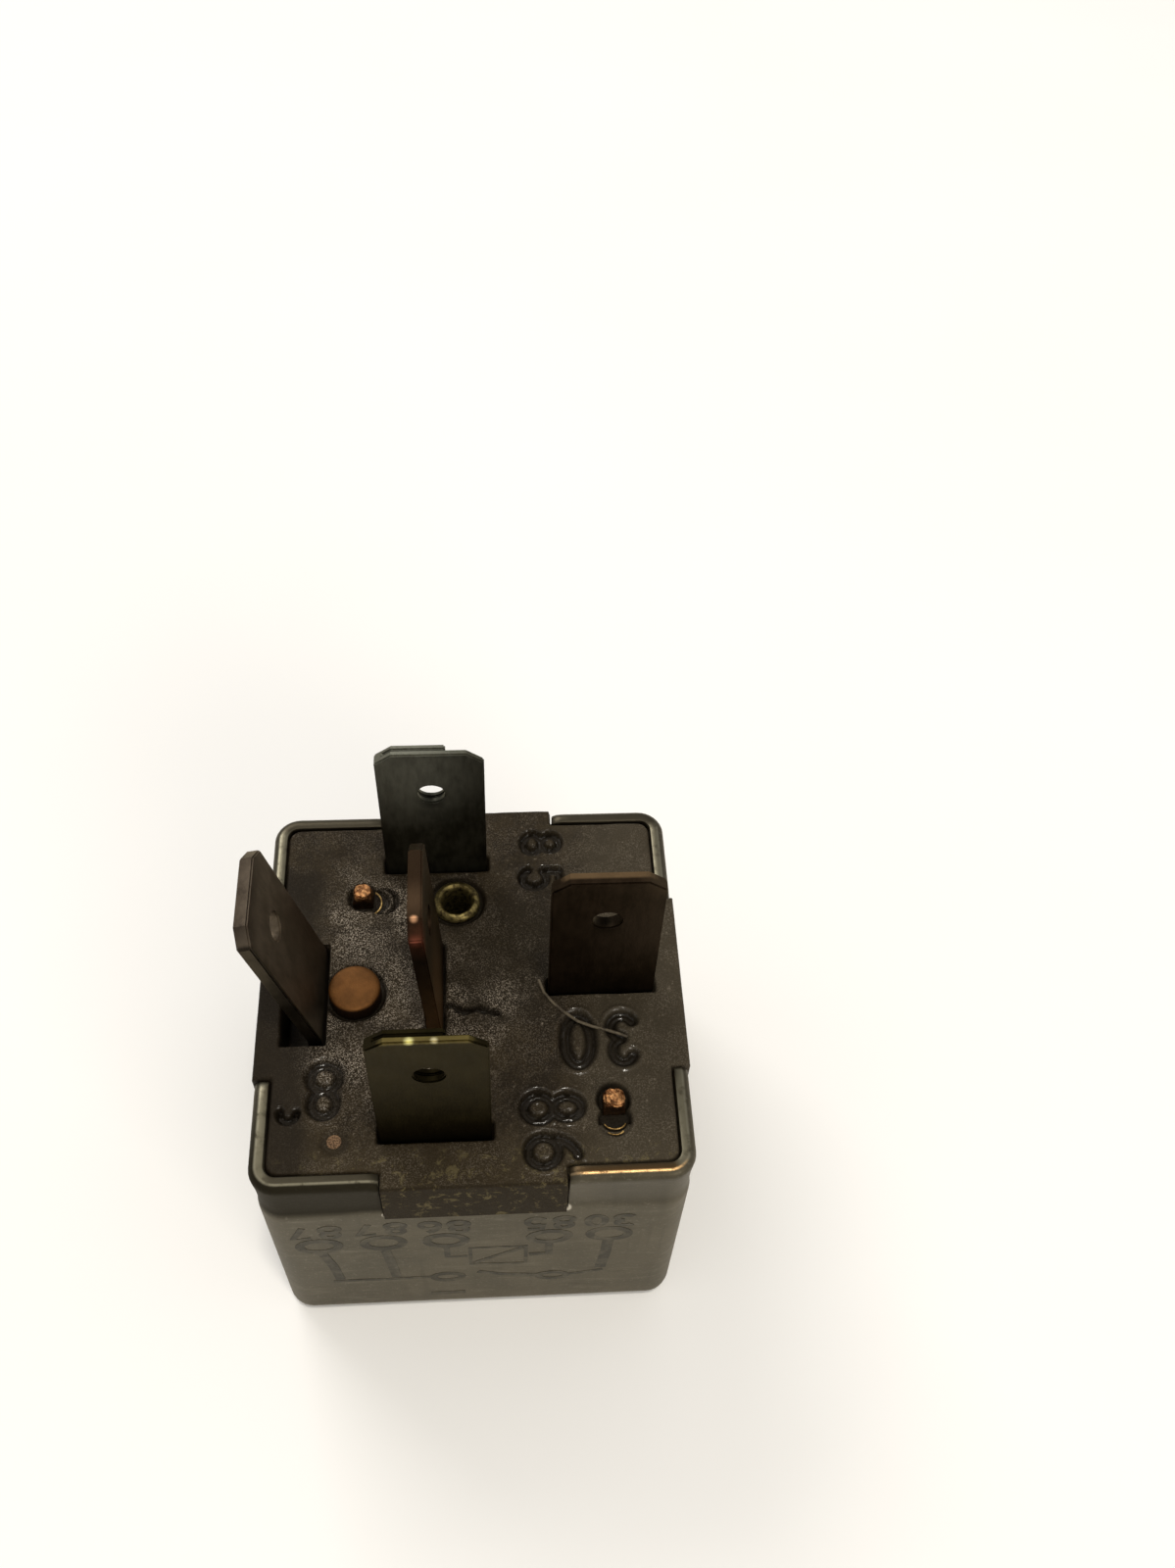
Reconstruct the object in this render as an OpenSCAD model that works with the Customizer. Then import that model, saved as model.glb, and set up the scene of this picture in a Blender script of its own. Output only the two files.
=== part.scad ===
// Metal-can relay with five blade terminals. A coil pulls a hinged armature,
// which closes one pair of contacts and so feeds two joined output blades.
// Millimetres. The origin is the centre of the can's closed end; +Z points to
// the blades, +X to terminal 30 and -Y to the can's printed face.

/* [Can] */
// Outer width of the square can
can_w = 25; // [24.5:0.5:32]
// Height of the can from its closed end to its rim
can_h = 21; // [20:0.5:28]
// Thickness of the can's sheet
can_wall = 0.5; // [0.4:0.05:0.7]
// Outer radius of the can's upright corners
can_corner_r = 1.6; // [1.2:0.1:2.5]
// Outer radius of the edge round the closed end
can_floor_r = 1.2; // [0.9:0.1:1.8]
// How far the rim is crimped in over the base at each corner
lip_in = 0.4; // [0.2:0.05:0.6]
// Thickness of the crimped lip
lip_t = 0.45; // [0.3:0.05:0.6]
// Width of the rim notches in the front and back faces
notch_w_front = 10.6; // [8:0.1:13]
// Width of the rim notches in the side faces
notch_w_side = 11.7; // [8:0.1:14]
// Depth of the rim notches
notch_depth = 4.5; // [3.5:0.1:5.4]

/* [Base] */
// Thickness of the moulded base
base_t = 3.2; // [2.6:0.1:3.9]
// How far the base's tabs stand out of the can's faces
tab_proud = 0.15; // [0.05:0.05:0.4]
// How far the tabs reach inwards under the base
tab_in = 0.6; // [0.4:0.1:0.7]
// Depth of the recess round each moulded digit
digit_depth = 0.3; // [0.15:0.05:0.5]
// Width of a moulded digit's stroke
digit_stroke = 0.5; // [0.35:0.05:0.6]
// Width of the recess that a stroke stands in
digit_halo = 1.15; // [0.9:0.05:1.3]

/* [Terminals] */
// Width of each blade
blade_w = 6.3; // [5.2:0.1:7.6]
// Thickness of each blade
blade_t = 0.8; // [0.6:0.05:1]
// Length of each blade above the base
blade_l = 11.9; // [10:0.1:15]
// Diameter of the detent hole near each blade's tip
detent_d = 1.6; // [1.2:0.1:2]
// Height of the detent holes above the base
detent_z = 8.1; // [7:0.1:9]
// Width taken off each tip corner
tip_w = 1; // [0.6:0.1:1.4]
// Height of the tip corners
tip_h = 0.8; // [0.5:0.1:1.2]
// Centre line of the terminal pattern from front to back
row_y = -0.4; // [-0.6:0.1:0.2]
// Centre of terminal 30
t30_x = 7.7; // [7.5:0.1:8]
// Centre of terminals 85 and 86
coil_x = -2.12; // [-2.4:0.02:-1.9]
// Distance between terminals 85 and 86
coil_pitch = 17.95; // [17.6:0.05:18.6]
// Centre of the outer terminal 87 at the base
out_x = -9.2; // [-9.4:0.1:-9]
// Centre of the middle terminal 87 at the base
mid_x = -2.15; // [-2.4:0.05:-2]
// Outward lean of the outer terminal 87, in degrees
out_lean = 13; // [0:1:14]
// Lean of the middle terminal 87, in degrees
mid_lean = 3; // [0:1:5]
// Width of the second layer folded onto terminals 85 and 86
fold_w = 4.1; // [3.4:0.1:5]

/* [Fasteners] */
// Outer diameter of the eyelet's rolled head
eyelet_d = 2.9; // [2.6:0.1:3.2]
// Diameter of the eyelet's hole
eyelet_hole_d = 1.85; // [1.4:0.05:1.9]
// Diameter of the copper rivet's head
rivet_head_d = 3.1; // [2.7:0.1:3.3]
// Height of the copper rivet's head above the base
rivet_proud = 0.75; // [0.4:0.05:1]
// Diameter of the staked pins
stake_d = 1.1; // [0.9:0.05:1.2]

/* [Coil and armature] */
// Height of the pivot above the can's floor
pivot_up = 3.7; // [3.6:0.1:4.6]
// Thickness of the yoke
yoke_t = 1.5; // [1.2:0.1:1.8]
// Thickness of the armature
armature_t = 1.3; // [1:0.1:1.4]
// Thickness of the spring leaf
leaf_t = 0.3; // [0.2:0.05:0.35]
// Angle between the open and the closed armature, in degrees
open_angle = 3.2; // [2.6:0.1:3.4]
// Centre of the coil
core_x = 2.6; // [2.2:0.1:2.7]
// Diameter of the iron core
core_d = 6; // [5:0.1:6.4]
// Outer diameter of the winding
winding_d = 10.8; // [9:0.1:11.6]
// Thickness of the bobbin's flanges and tube
bobbin_t = 0.7; // [0.5:0.05:0.8]
// Diameter of the contacts
contact_d = 3; // [2.4:0.1:3.2]

/* [Hidden] */

fit = 0.1;                                  // gap round moulded and folded parts
pin_fit = 0.04;                             // gap round pins and rivets
past = 1;                                   // how far a cut runs past its face
round_fn = 64;
thin_fn = 32;

// Levels, from the closed end up
inner_w = can_w - 2*can_wall;
under_z = can_h - base_t;                   // underside of the base
strip_z = under_z - blade_t;                // lower face of the strips under it
yoke_z = under_z - yoke_t;                  // lower face of the yoke's foot
pivot_z = can_wall + pivot_up;

// Terminals
t85_y = row_y + coil_pitch/2;
t86_y = row_y - coil_pitch/2;
slot_w = blade_w + 2*fit;
slot_t = blade_t + 2*fit;
out_slot = [-11.1, out_x + blade_t/2 + fit];  // left and right edge
foot_w = 2;                                 // width of the straps under the base
strap_reach = foot_w/2 + 0.4;               // of terminal 30's strap round its pin
tag_w = 2.4;                                // solder tags of 85 and 86

// Fasteners in the base
eyelet_at = [-0.9, 5.85];
eyelet_wall = 0.22;
eyelet_shank_d = eyelet_hole_d + 2*eyelet_wall;
eyelet_head_h = 0.6;
eyelet_recess_d = eyelet_d + 0.7;
eyelet_recess_h = 0.4;
rivet_at = [-6.95, row_y];
rivet_shank_d = 1.6;
rivet_recess_d = rivet_head_d + 0.65;
rivet_recess_h = 0.5;
stake85_at = [-6.7, 6.3];
stake30_at = [8, -8];
stake86_at = [-7.8, -9.7];
stake_recess_d = 1.85;
stake_recess_h = 0.5;
stake_top = [1.25, 1.1, 0.8];               // sheared end above the base
head_t = 0.4;                               // heads of pins and small rivets

// Yoke, hinge and armature
leg_x = [10.8 - yoke_t, 10.8];
foot_x = [-0.6, leg_x[1]];
yoke_w = 12;
ear_r = 2;
pivot_x = 10.2;
armature_x = [-4.2, pivot_x];
armature_w = 11;
armature_cut = [0.9, 0.5];
leaf_gap = 0.15;
leaf_w = 8;
leaf_top = 7;                               // height of the leaf's leg
leaf_rivets_up = 4.3;
leaf_rivets_apart = 4;
small_rivet_d = 1.2;
small_head_d = 2;

// Contacts
contact_x = -7;
contact_h = 0.7;
contact_shank_d = 1.4;
arm_tip_x = -9.2;
arm_w = [6, 3.6];                           // under the armature, and at its tip
bracket_w = 4;
lug_z = pivot_z - armature_t + 2*contact_h; // underside of the fixed contact's lug
lug_end_x = -5.3;

// Magnet
pole_gap = 0.05;
pole_d = core_d + 2;
pole_h = 1;
neck_d = 4;
bobbin_z = [pivot_z + pole_h + pole_gap, yoke_z];
flange_d = winding_d + 2;
tape_t = 0.1;
lead_d = 0.4;
lead_z = yoke_z - lead_d/2 - fit;
tag_l = strip_z - lead_z + 1;               // the tags end 1 mm below the wires
tag_blob_d = 1.6;
lead_turn = 76;                             // where the wires leave the flange

// Backstop under the tip of the contact arm
stop_x = [-11.2, -10.7];
stop_y = [4.2, 6.6];
stop_lug = [-8.3, -2.2];                    // right edge and front edge of the lug
stop_pocket_h = 1.5;
stop_gap = 0.02;
arm_drop = armature_t + leaf_t;
stop_top = pivot_z + (arm_tip_x - pivot_x)*sin(open_angle)
    - arm_drop*cos(open_angle) - stop_gap;

// Centre height of the leaf's bend, just below the pivot
function bend_z() = pivot_z - 0.15;

// Points of an elliptical arc
function arc_points(c, r, a0, a1, n = 14) =
    [for (i = [0:n]) let (a = a0 + (a1 - a0)*i/n) [c[0] + r[0]*cos(a), c[1] + r[1]*sin(a)]];

// Point i of a path, moved sideways by d
function side_point(path, i, d) =
    let (a = path[max(i - 1, 0)], b = path[min(i + 1, len(path) - 1)], u = (b - a)/norm(b - a))
    path[i] + d*[-u[1], u[0]];

// ---- plane shapes ----

module rounded_square(w, r) {
    square([w, w - 2*r], center = true);
    square([w - 2*r, w], center = true);
    for (x = [-1, 1], y = [-1, 1])
        translate([x*(w/2 - r), y*(w/2 - r)]) circle(r, $fn = round_fn);
}

module stroke(path, w) {
    n = len(path) - 1;
    polygon(concat([for (i = [0:n]) side_point(path, i, w/2)],
                   [for (i = [n:-1:0]) side_point(path, i, -w/2)]));
}

module ring(c, r, w) {
    difference() {
        polygon(arc_points(c, [r[0] + w/2, r[1] + w/2], 0, 345, 23));
        if (min(r[0], r[1]) > w/2 + 0.1)
            polygon(arc_points(c, [r[0] - w/2, r[1] - w/2], 0, 345, 23));
    }
}

// A digit of overall height h and width w, drawn with strokes of width s
module digit(n, h, w, s) {
    rx = (w - digit_stroke)/2;
    q = (h - digit_stroke)/4;
    cap = s/2;
    if (n == 0) ring([0, 0], [rx, 2*q], s);
    if (n == 8) {
        ring([0, -q], [rx, q], s);
        ring([0, q], [0.85*rx, q], s);
    }
    if (n == 3) {
        stroke(arc_points([0, q], [0.9*rx, q], 155, -58), s);
        stroke(arc_points([0, -q], [rx, q], 52, -155), s);
        stroke([[-0.25*rx, 0], [0.7*rx, 0]], s);
    }
    if (n == 5) {
        stroke([[-0.8*rx - cap, 2*q], [0.9*rx + cap, 2*q]], s);
        stroke([[-0.8*rx, 2*q + cap], [-0.8*rx, 0.1*q]], s);
        stroke(arc_points([-0.1*rx, -0.6*q], [1.1*rx, 1.4*q], 135, -140), s);
    }
    if (n == 6) {
        ring([0, -q], [rx, q], s);
        stroke(arc_points([1.2*rx, -0.4*q], [2.05*rx, 2.4*q], 182, 108), s);
    }
    if (n == 7) {
        stroke([[-rx - cap, 2*q], [rx + cap, 2*q]], s);
        stroke([[rx, 2*q + cap/2], [-0.3*rx, -2*q - cap/2]], s);
    }
}

// The four terminal numbers, as [digit, place, turn, height, width]
DIGITS = [
    [8, [4.55, 10], -90, 2.9, 2], [5, [4.45, 7.6], -90, 2.9, 2],
    [0, [6.2, -3.9], 180, 3.9, 2.4], [3, [8.7, -3.9], 180, 3.9, 2.2],
    [8, [4.5, -8.1], -90, 3.6, 2], [6, [4.5, -10.7], -90, 3.6, 2],
    [8, [-8.45, -6.6], 180, 3.8, 2.3], [7, [-10.5, -7.4], 180, 3.6, 1.5]
];

module digits(s) {
    for (d = DIGITS) translate(d[1]) rotate(d[2]) digit(d[0], d[3], d[4], s);
}

// ---- solids used more than once ----

// A block from low to high corner
module block(low, high) {
    translate(low) cube(high - low);
}

module peg(at, d, z0, z1) {
    translate([at[0], at[1], z0]) cylinder(d = d, h = z1 - z0, $fn = thin_fn);
}

// A cut for a small rivet, along Z and centred
module rivet_hole(h) {
    cylinder(d = small_rivet_d + 2*pin_fit, h = h, center = true, $fn = thin_fn);
}

// A rounded blank, open at the top, as it leaves the drawing press
module drawn_blank(w, h, corner_r, floor_r) {
    intersection() {
        linear_extrude(h) rounded_square(w, corner_r);
        side_profile(w, h, floor_r, 0);
        side_profile(w, h, floor_r, 90);
    }
}

// A bar with the blank's outline as seen from one side, rounded at the floor
module side_profile(w, h, r, turn) {
    low = arc_points([w/2 - r, r], [r, r], -90, 0, 10);
    rotate([0, 0, turn]) rotate([90, 0, 0])
        linear_extrude(w + 2*past, center = true)
            polygon(concat([for (p = low) p], [[w/2, h + past], [-w/2, h + past]],
                           [for (i = [10:-1:0]) [-low[i][0], low[i][1]]]));
}

// Places its children on each of the four faces: front, right, back, left
module at_faces() {
    for (i = [0:3]) rotate([0, 0, 90*i]) {
        $notch_w = i % 2 == 0 ? notch_w_front : notch_w_side;
        children();
    }
}

// A blade standing on the XY plane, its width along X
module blade_outline(w) {
    difference() {
        polygon([[-w/2, 0], [w/2, 0], [w/2, blade_l - tip_h], [w/2 - tip_w, blade_l],
                 [-w/2 + tip_w, blade_l], [-w/2, blade_l - tip_h]]);
        translate([0, detent_z]) circle(d = detent_d, $fn = round_fn);
    }
}

module blade() {
    rotate([90, 0, 0]) linear_extrude(blade_t, center = true) blade_outline(blade_w);
}

// A blade of two layers, folded to the back along its left edge
module folded_blade() {
    slit = 0.05;
    fold = 0.5;
    difference() {
        blade();
        block([-blade_w/2 + fold, 0, -past], [blade_w/2 + past, slit, blade_l + past]);
        block([-blade_w/2 + fold_w, 0, -past], [blade_w/2 + past, blade_t, blade_l + past]);
    }
}

// A blade that stands across X, bent at the base and leaning to -X
module leaning_blade(x, lean) {
    translate([x + blade_t/2, row_y, can_h]) rotate([0, -lean, 0])
        translate([-blade_t/2, 0, 0]) rotate([0, 0, 90]) blade();
    block([x - blade_t/2, row_y - blade_w/2, under_z], [x + blade_t/2, row_y + blade_w/2, can_h]);
}

// Turns the closed armature and its pieces down to the open position
module opened() {
    translate([pivot_x, row_y, pivot_z]) rotate([0, -open_angle, 0])
        translate([-pivot_x, -row_y, -pivot_z]) children();
}

// ---- sub-parts ----

module can() {
    color("dimgray") {
        difference() {
            drawn_blank(can_w, can_h, can_corner_r, can_floor_r);
            translate([0, 0, can_wall])
                drawn_blank(inner_w, can_h, can_corner_r - can_wall, can_floor_r - can_wall);
            at_faces() block([-$notch_w/2, -can_w/2 - past, can_h - notch_depth],
                             [$notch_w/2, -can_w/2 + can_wall + past, can_h + past]);
        }
        translate([0, 0, can_h - lip_t]) crimped_lip();
    }
}

module crimped_lip() {
    difference() {
        linear_extrude(lip_t) difference() {
            rounded_square(can_w, can_corner_r);
            rounded_square(inner_w - 2*lip_in, can_corner_r - can_wall);
        }
        at_faces() block([-$notch_w/2, -can_w/2 - past, -past],
                         [$notch_w/2, -can_w/2 + can_wall + lip_in + past, lip_t + past]);
    }
}

module base_plate() {
    color([0.17, 0.13, 0.11]) difference() {
        union() {
            translate([0, 0, under_z]) linear_extrude(base_t)
                rounded_square(inner_w - 2*fit, can_corner_r - can_wall);
            at_faces() base_tab();
        }
        base_rebate();
        base_slots();
        base_pin_holes();
        translate([0, 0, can_h - digit_depth]) linear_extrude(digit_depth + past)
            difference() {
                digits(digit_halo);
                digits(digit_stroke);
            }
    }
}

module base_tab() {
    block([-$notch_w/2 + fit, -can_w/2 - tab_proud, can_h - notch_depth + fit],
          [$notch_w/2 - fit, -inner_w/2 + tab_in, can_h]);
}

// Step round the corners that the crimped lip lies in
module base_rebate() {
    translate([0, 0, can_h - lip_t - fit]) difference() {
        linear_extrude(lip_t + fit + past) difference() {
            square(can_w + 2*past, center = true);
            rounded_square(inner_w - 2*lip_in - 2*fit, can_corner_r - can_wall);
        }
        at_faces() block([-$notch_w/2 + fit, -can_w, -past],
                         [$notch_w/2 - fit, 0, lip_t + 2*past]);
    }
}

module base_slots() {
    z = [under_z - past, can_h + past];
    for (at = [[t30_x, row_y], [coil_x, t85_y], [coil_x, t86_y]])
        block([at[0] - slot_w/2, at[1] - slot_t/2, z[0]], [at[0] + slot_w/2, at[1] + slot_t/2, z[1]]);
    block([out_slot[0], row_y - slot_w/2, z[0]], [out_slot[1], row_y + slot_w/2, z[1]]);
    block([mid_x - slot_t/2, row_y - slot_w/2, z[0]], [mid_x + slot_t/2, row_y + slot_w/2, z[1]]);
    // pocket over terminal 30's strap, and the backstop's blind pocket
    block([stake30_at[0] - strap_reach - fit, stake30_at[1] - strap_reach - fit, under_z - past],
          [stake30_at[0] + strap_reach + fit, row_y - blade_t/2, under_z + blade_t + fit]);
    block([stop_x[0] - pin_fit, stop_y[0] - pin_fit, under_z - past],
          [stop_x[1] + pin_fit, stop_y[1] + pin_fit, under_z + stop_pocket_h]);
}

module base_pin_holes() {
    low = under_z - past;
    high = can_h + past;
    peg(eyelet_at, eyelet_shank_d + 2*pin_fit, low, high);
    peg(eyelet_at, eyelet_recess_d, can_h - eyelet_recess_h, high);
    peg(rivet_at, rivet_shank_d + 2*pin_fit, low, high);
    peg(rivet_at, rivet_recess_d, can_h - rivet_recess_h, high);
    for (at = [stake85_at, stake30_at, stake86_at]) peg(at, stake_d + 2*pin_fit, low, high);
    // each moulded recess is two round pockets side by side
    for (shift = [[0.05, 0], [1.25, -0.25]])
        peg(stake85_at + shift, stake_recess_d, can_h - stake_recess_h, high);
    for (shift = [[0, 0.25], [0, -1]])
        peg(stake30_at + shift, stake_recess_d, can_h - stake_recess_h, high);
}

module terminal_30() {
    color([0.36, 0.3, 0.24]) {
        translate([t30_x, row_y, can_h]) blade();
        block([t30_x - blade_w/2, row_y - blade_t/2, under_z + blade_t],
              [t30_x + blade_w/2, row_y + blade_t/2, can_h]);
    }
}

// Strip set into the base's underside, from terminal 30 to the pin through the yoke
module strap_30() {
    color([0.7, 0.45, 0.3]) difference() {
        block([stake30_at[0] - strap_reach, stake30_at[1] - strap_reach, under_z],
              [stake30_at[0] + strap_reach, row_y + blade_t/2, under_z + blade_t]);
        peg(stake30_at, stake_d + 2*pin_fit, under_z - past, can_h);
    }
}

// Terminals 85 and 86: a folded blade, a stem through the base, and a tag below
// it that carries the coil's wire
module coil_terminal(y) {
    translate([coil_x, y, can_h]) folded_blade();
    block([coil_x - blade_w/2, y - blade_t/2, strip_z], [coil_x + blade_w/2, y + blade_t/2, can_h]);
    block([coil_x - tag_w/2, y - blade_t/2, strip_z - tag_l],
          [coil_x + tag_w/2, y + blade_t/2, strip_z]);
}

// Strip under the base, from the edge of a coil terminal to its staked pin
module coil_strap(y, stake_at) {
    left = stake_at[0] - foot_w/2;
    difference() {
        union() {
            block([left, min(y, stake_at[1]) - foot_w/2, strip_z],
                  [stake_at[0] + foot_w/2, max(y + blade_t/2, stake_at[1] + foot_w/2), under_z]);
            block([left, y - blade_t/2, strip_z], [coil_x - blade_w/2, y + blade_t/2, under_z]);
        }
        peg(stake_at, stake_d + 2*pin_fit, strip_z - past, can_h);
    }
}

module terminal_85() {
    color([0.22, 0.21, 0.2]) coil_terminal(t85_y);
}

module strap_85() {
    color([0.7, 0.45, 0.3]) coil_strap(t85_y, stake85_at);
}

module terminal_86() {
    color([0.33, 0.29, 0.17]) coil_terminal(t86_y);
}

module strap_86() {
    color([0.7, 0.45, 0.3]) coil_strap(t86_y, stake86_at);
}

module terminal_87_outer() {
    color([0.35, 0.31, 0.27]) leaning_blade(out_x, out_lean);
}

module terminal_87_centre() {
    color([0.36, 0.28, 0.22]) leaning_blade(mid_x, mid_lean);
}

module eyelet() {
    low = yoke_z - head_t;
    neck = can_h - eyelet_recess_h;
    color([0.72, 0.55, 0.3]) difference() {
        union() {
            peg(eyelet_at, eyelet_shank_d, low, can_h);
            peg(eyelet_at, eyelet_d, neck, neck + eyelet_head_h);
            peg(eyelet_at, eyelet_d, low, yoke_z);
        }
        peg(eyelet_at, eyelet_hole_d, low - past, can_h + past);
    }
}

module contact_rivet() {
    seat = can_h - rivet_recess_h;
    low = strip_z - head_t;
    dome_r = rivet_head_d*3;
    color([0.78, 0.42, 0.24]) {
        peg(rivet_at, rivet_shank_d, strip_z, seat);
        peg(rivet_at, rivet_head_d, low, strip_z);
        intersection() {
            peg(rivet_at, rivet_head_d, seat, can_h + rivet_proud + past);
            translate([rivet_at[0], rivet_at[1], can_h + rivet_proud - dome_r])
                sphere(dome_r, $fn = round_fn);
        }
    }
}

// A pin riveted over under the base; its sheared upper end shows
module stake(at, low) {
    peg(at, stake_d, low - head_t, can_h - stake_recess_h);
    peg(at, small_head_d, low - head_t, low);
    block([at[0] - stake_top[0]/2, at[1] - stake_top[1]/2, can_h - stake_recess_h],
          [at[0] + stake_top[0]/2, at[1] + stake_top[1]/2, can_h + stake_top[2]]);
}

module stake_30() {
    color([0.75, 0.5, 0.35]) stake(stake30_at, yoke_z);
}

module stake_85() {
    color([0.75, 0.5, 0.35]) stake(stake85_at, strip_z);
}

module stake_86() {
    color([0.6, 0.4, 0.28]) {
        peg(stake86_at, stake_d, strip_z - head_t, can_h - fit);
        peg(stake86_at, small_head_d, strip_z - head_t, strip_z);
    }
}

// Bridge under both terminals 87, with a leg down to the fixed contact
module contact_bracket() {
    left = out_x - blade_t/2;
    y = [row_y - bracket_w/2, row_y + bracket_w/2];
    color([0.7, 0.45, 0.3]) difference() {
        union() {
            block([left, y[0], strip_z], [mid_x + blade_t/2, y[1], under_z]);
            block([left, y[0], lug_z], [left + blade_t, y[1], under_z]);
            block([left, y[0], lug_z], [lug_end_x, y[1], lug_z + blade_t]);
        }
        peg(rivet_at, rivet_shank_d + 2*pin_fit, strip_z - past, under_z + past);
        peg([contact_x, row_y], contact_shank_d + 2*pin_fit, lug_z - past, lug_z + blade_t + past);
    }
}

module fixed_contact() {
    at = [contact_x, row_y];
    top = lug_z + blade_t;
    color("silver") {
        peg(at, contact_d, lug_z - contact_h, lug_z);
        peg(at, contact_shank_d, lug_z, top);
        peg(at, small_head_d, top, top + head_t);
    }
}

module yoke() {
    y = [row_y - yoke_w/2, row_y + yoke_w/2];
    corner = 0.3;
    rivet_z = pivot_z + leaf_rivets_up;
    color("slategray") difference() {
        union() {
            block([foot_x[0], y[0], yoke_z], [foot_x[1], y[1], under_z]);
            block([leg_x[0], y[0], pivot_z], [leg_x[1], y[1], under_z]);
            block([stake30_at[0] - ear_r, stake30_at[1] - ear_r/2, yoke_z],
                  [stake30_at[0] + ear_r, y[0] + past, under_z]);
            block([eyelet_at[0] - ear_r, eyelet_at[1] - ear_r - past, yoke_z],
                  [eyelet_at[0] + ear_r, t85_y - blade_t/2 - tag_blob_d/2 - fit, under_z]);
        }
        translate([leg_x[1], row_y, pivot_z]) rotate([0, 45, 0])
            cube([corner*sqrt(2), yoke_w + past, corner*sqrt(2)], center = true);
        peg([core_x, row_y], neck_d + 2*pin_fit, yoke_z - past, under_z + past);
        peg(stake30_at, stake_d + 2*pin_fit, yoke_z - past, under_z + past);
        peg(eyelet_at, eyelet_shank_d + 2*pin_fit, yoke_z - past, under_z + past);
        leaf_rivet_places() rivet_hole(2*leaf_w);
    }
}

// Places its children at the leaf's rivets, with their axis along X
module leaf_rivet_places() {
    for (s = [-1, 1])
        translate([leg_x[1], row_y + s*leaf_rivets_apart/2, pivot_z + leaf_rivets_up])
            rotate([0, 90, 0]) children();
}

module core() {
    at = [core_x, row_y];
    color("gray") {
        peg(at, pole_d, pivot_z + pole_gap, bobbin_z[0]);
        peg(at, core_d, bobbin_z[0], bobbin_z[1]);
        peg(at, neck_d, bobbin_z[1], under_z);
    }
}

module bobbin() {
    at = [core_x, row_y];
    color("ivory") difference() {
        union() {
            peg(at, core_d + 2*pin_fit + 2*bobbin_t, bobbin_z[0], bobbin_z[1]);
            peg(at, flange_d, bobbin_z[0], bobbin_z[0] + bobbin_t);
            peg(at, flange_d, bobbin_z[1] - bobbin_t, bobbin_z[1]);
        }
        peg(at, core_d + 2*pin_fit, bobbin_z[0] - past, bobbin_z[1] + past);
        peg(eyelet_at, eyelet_d + 4*fit, bobbin_z[1] - bobbin_t - past, bobbin_z[1] + past);
    }
}

module coil_winding() {
    at = [core_x, row_y];
    color([0.65, 0.3, 0.15]) difference() {
        peg(at, winding_d, bobbin_z[0] + bobbin_t, bobbin_z[1] - bobbin_t);
        peg(at, core_d + 4*pin_fit + 2*bobbin_t, bobbin_z[0], bobbin_z[1]);
    }
}

module coil_tape() {
    at = [core_x, row_y];
    z = [bobbin_z[0] + bobbin_t + fit, bobbin_z[1] - bobbin_t - fit];
    color("khaki") difference() {
        peg(at, winding_d + 2*pin_fit + 2*tape_t, z[0], z[1]);
        peg(at, winding_d + 2*pin_fit, z[0] - past, z[1] + past);
    }
}

// Two wires, each from the flange's rim to a solder joint on a terminal's tag
module coil_leads() {
    color([0.7, 0.35, 0.2]) for (y = [t85_y, t86_y]) {
        s = y > row_y ? 1 : -1;
        joint = [coil_x, y - s*blade_t/2, lead_z];
        reach = flange_d/2 + pin_fit;
        rim = [core_x + reach*cos(lead_turn), row_y + s*reach*sin(lead_turn), lead_z];
        run = rim - joint;
        difference() {
            union() {
                translate(joint) rotate([0, 90, atan2(run[1], run[0])])
                    cylinder(d = lead_d, h = norm(run), $fn = thin_fn);
                translate(joint) sphere(d = tag_blob_d, $fn = thin_fn);
            }
            block([coil_x - tag_w/2, y - blade_t/2, strip_z - tag_l],
                  [coil_x + tag_w/2, y + blade_t/2, strip_z]);
            peg([core_x, row_y], flange_d + 2*pin_fit, lead_z - past, lead_z + past);
        }
    }
}

// Leaf riveted to the yoke's back, bent round the hinge to meet the arm
module hinge_spring() {
    r = [leaf_bend_r() - leaf_t/2, leaf_bend_r() + leaf_t/2];
    c = [leg_x[1] - r[0], bend_z()];
    difference() {
        color("goldenrod") translate([0, row_y + leaf_w/2, 0]) rotate([90, 0, 0]) linear_extrude(leaf_w)
            polygon(concat([[leg_x[1], pivot_z + leaf_top], [leg_x[1] + leaf_t, pivot_z + leaf_top]],
                           arc_points(c, [r[1], r[1]], 0, -90), arc_points(c, [r[0], r[0]], -90, 0)));
        leaf_rivet_places() rivet_hole(2*leaf_w);
    }
}

// The bend ends level with the contact arm
function leaf_bend_r() = bend_z() - (pivot_z - armature_t - leaf_t/2);

module hinge_spring_rivets() {
    color("silver") leaf_rivet_places() {
        translate([0, 0, -yoke_t]) cylinder(d = small_rivet_d, h = yoke_t + leaf_t, $fn = thin_fn);
        translate([0, 0, leaf_t]) cylinder(d = small_head_d, h = head_t, $fn = thin_fn);
    }
}

// Strip from the base down to a lug that the open contact arm rests on
module backstop() {
    color("darkgray") {
        block([stop_x[0], stop_y[0], stop_top - blade_t/2],
              [stop_x[1], stop_y[1], under_z + stop_pocket_h]);
        block([stop_x[0], stop_lug[1], stop_top - blade_t/2], [stop_lug[0], stop_y[1], stop_top]);
    }
}

module armature() {
    y = [row_y - armature_w/2, row_y + armature_w/2];
    low = pivot_z - armature_t;
    color("gray") opened() difference() {
        translate([0, y[1], 0]) rotate([90, 0, 0]) linear_extrude(armature_w)
            polygon([[armature_x[0], low], [armature_x[1] - armature_cut[0], low],
                     [armature_x[1], low + armature_cut[1]], [armature_x[1], pivot_z],
                     [armature_x[0], pivot_z]]);
        armature_rivet_places() rivet_hole(2*leaf_w);
    }
}

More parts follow.
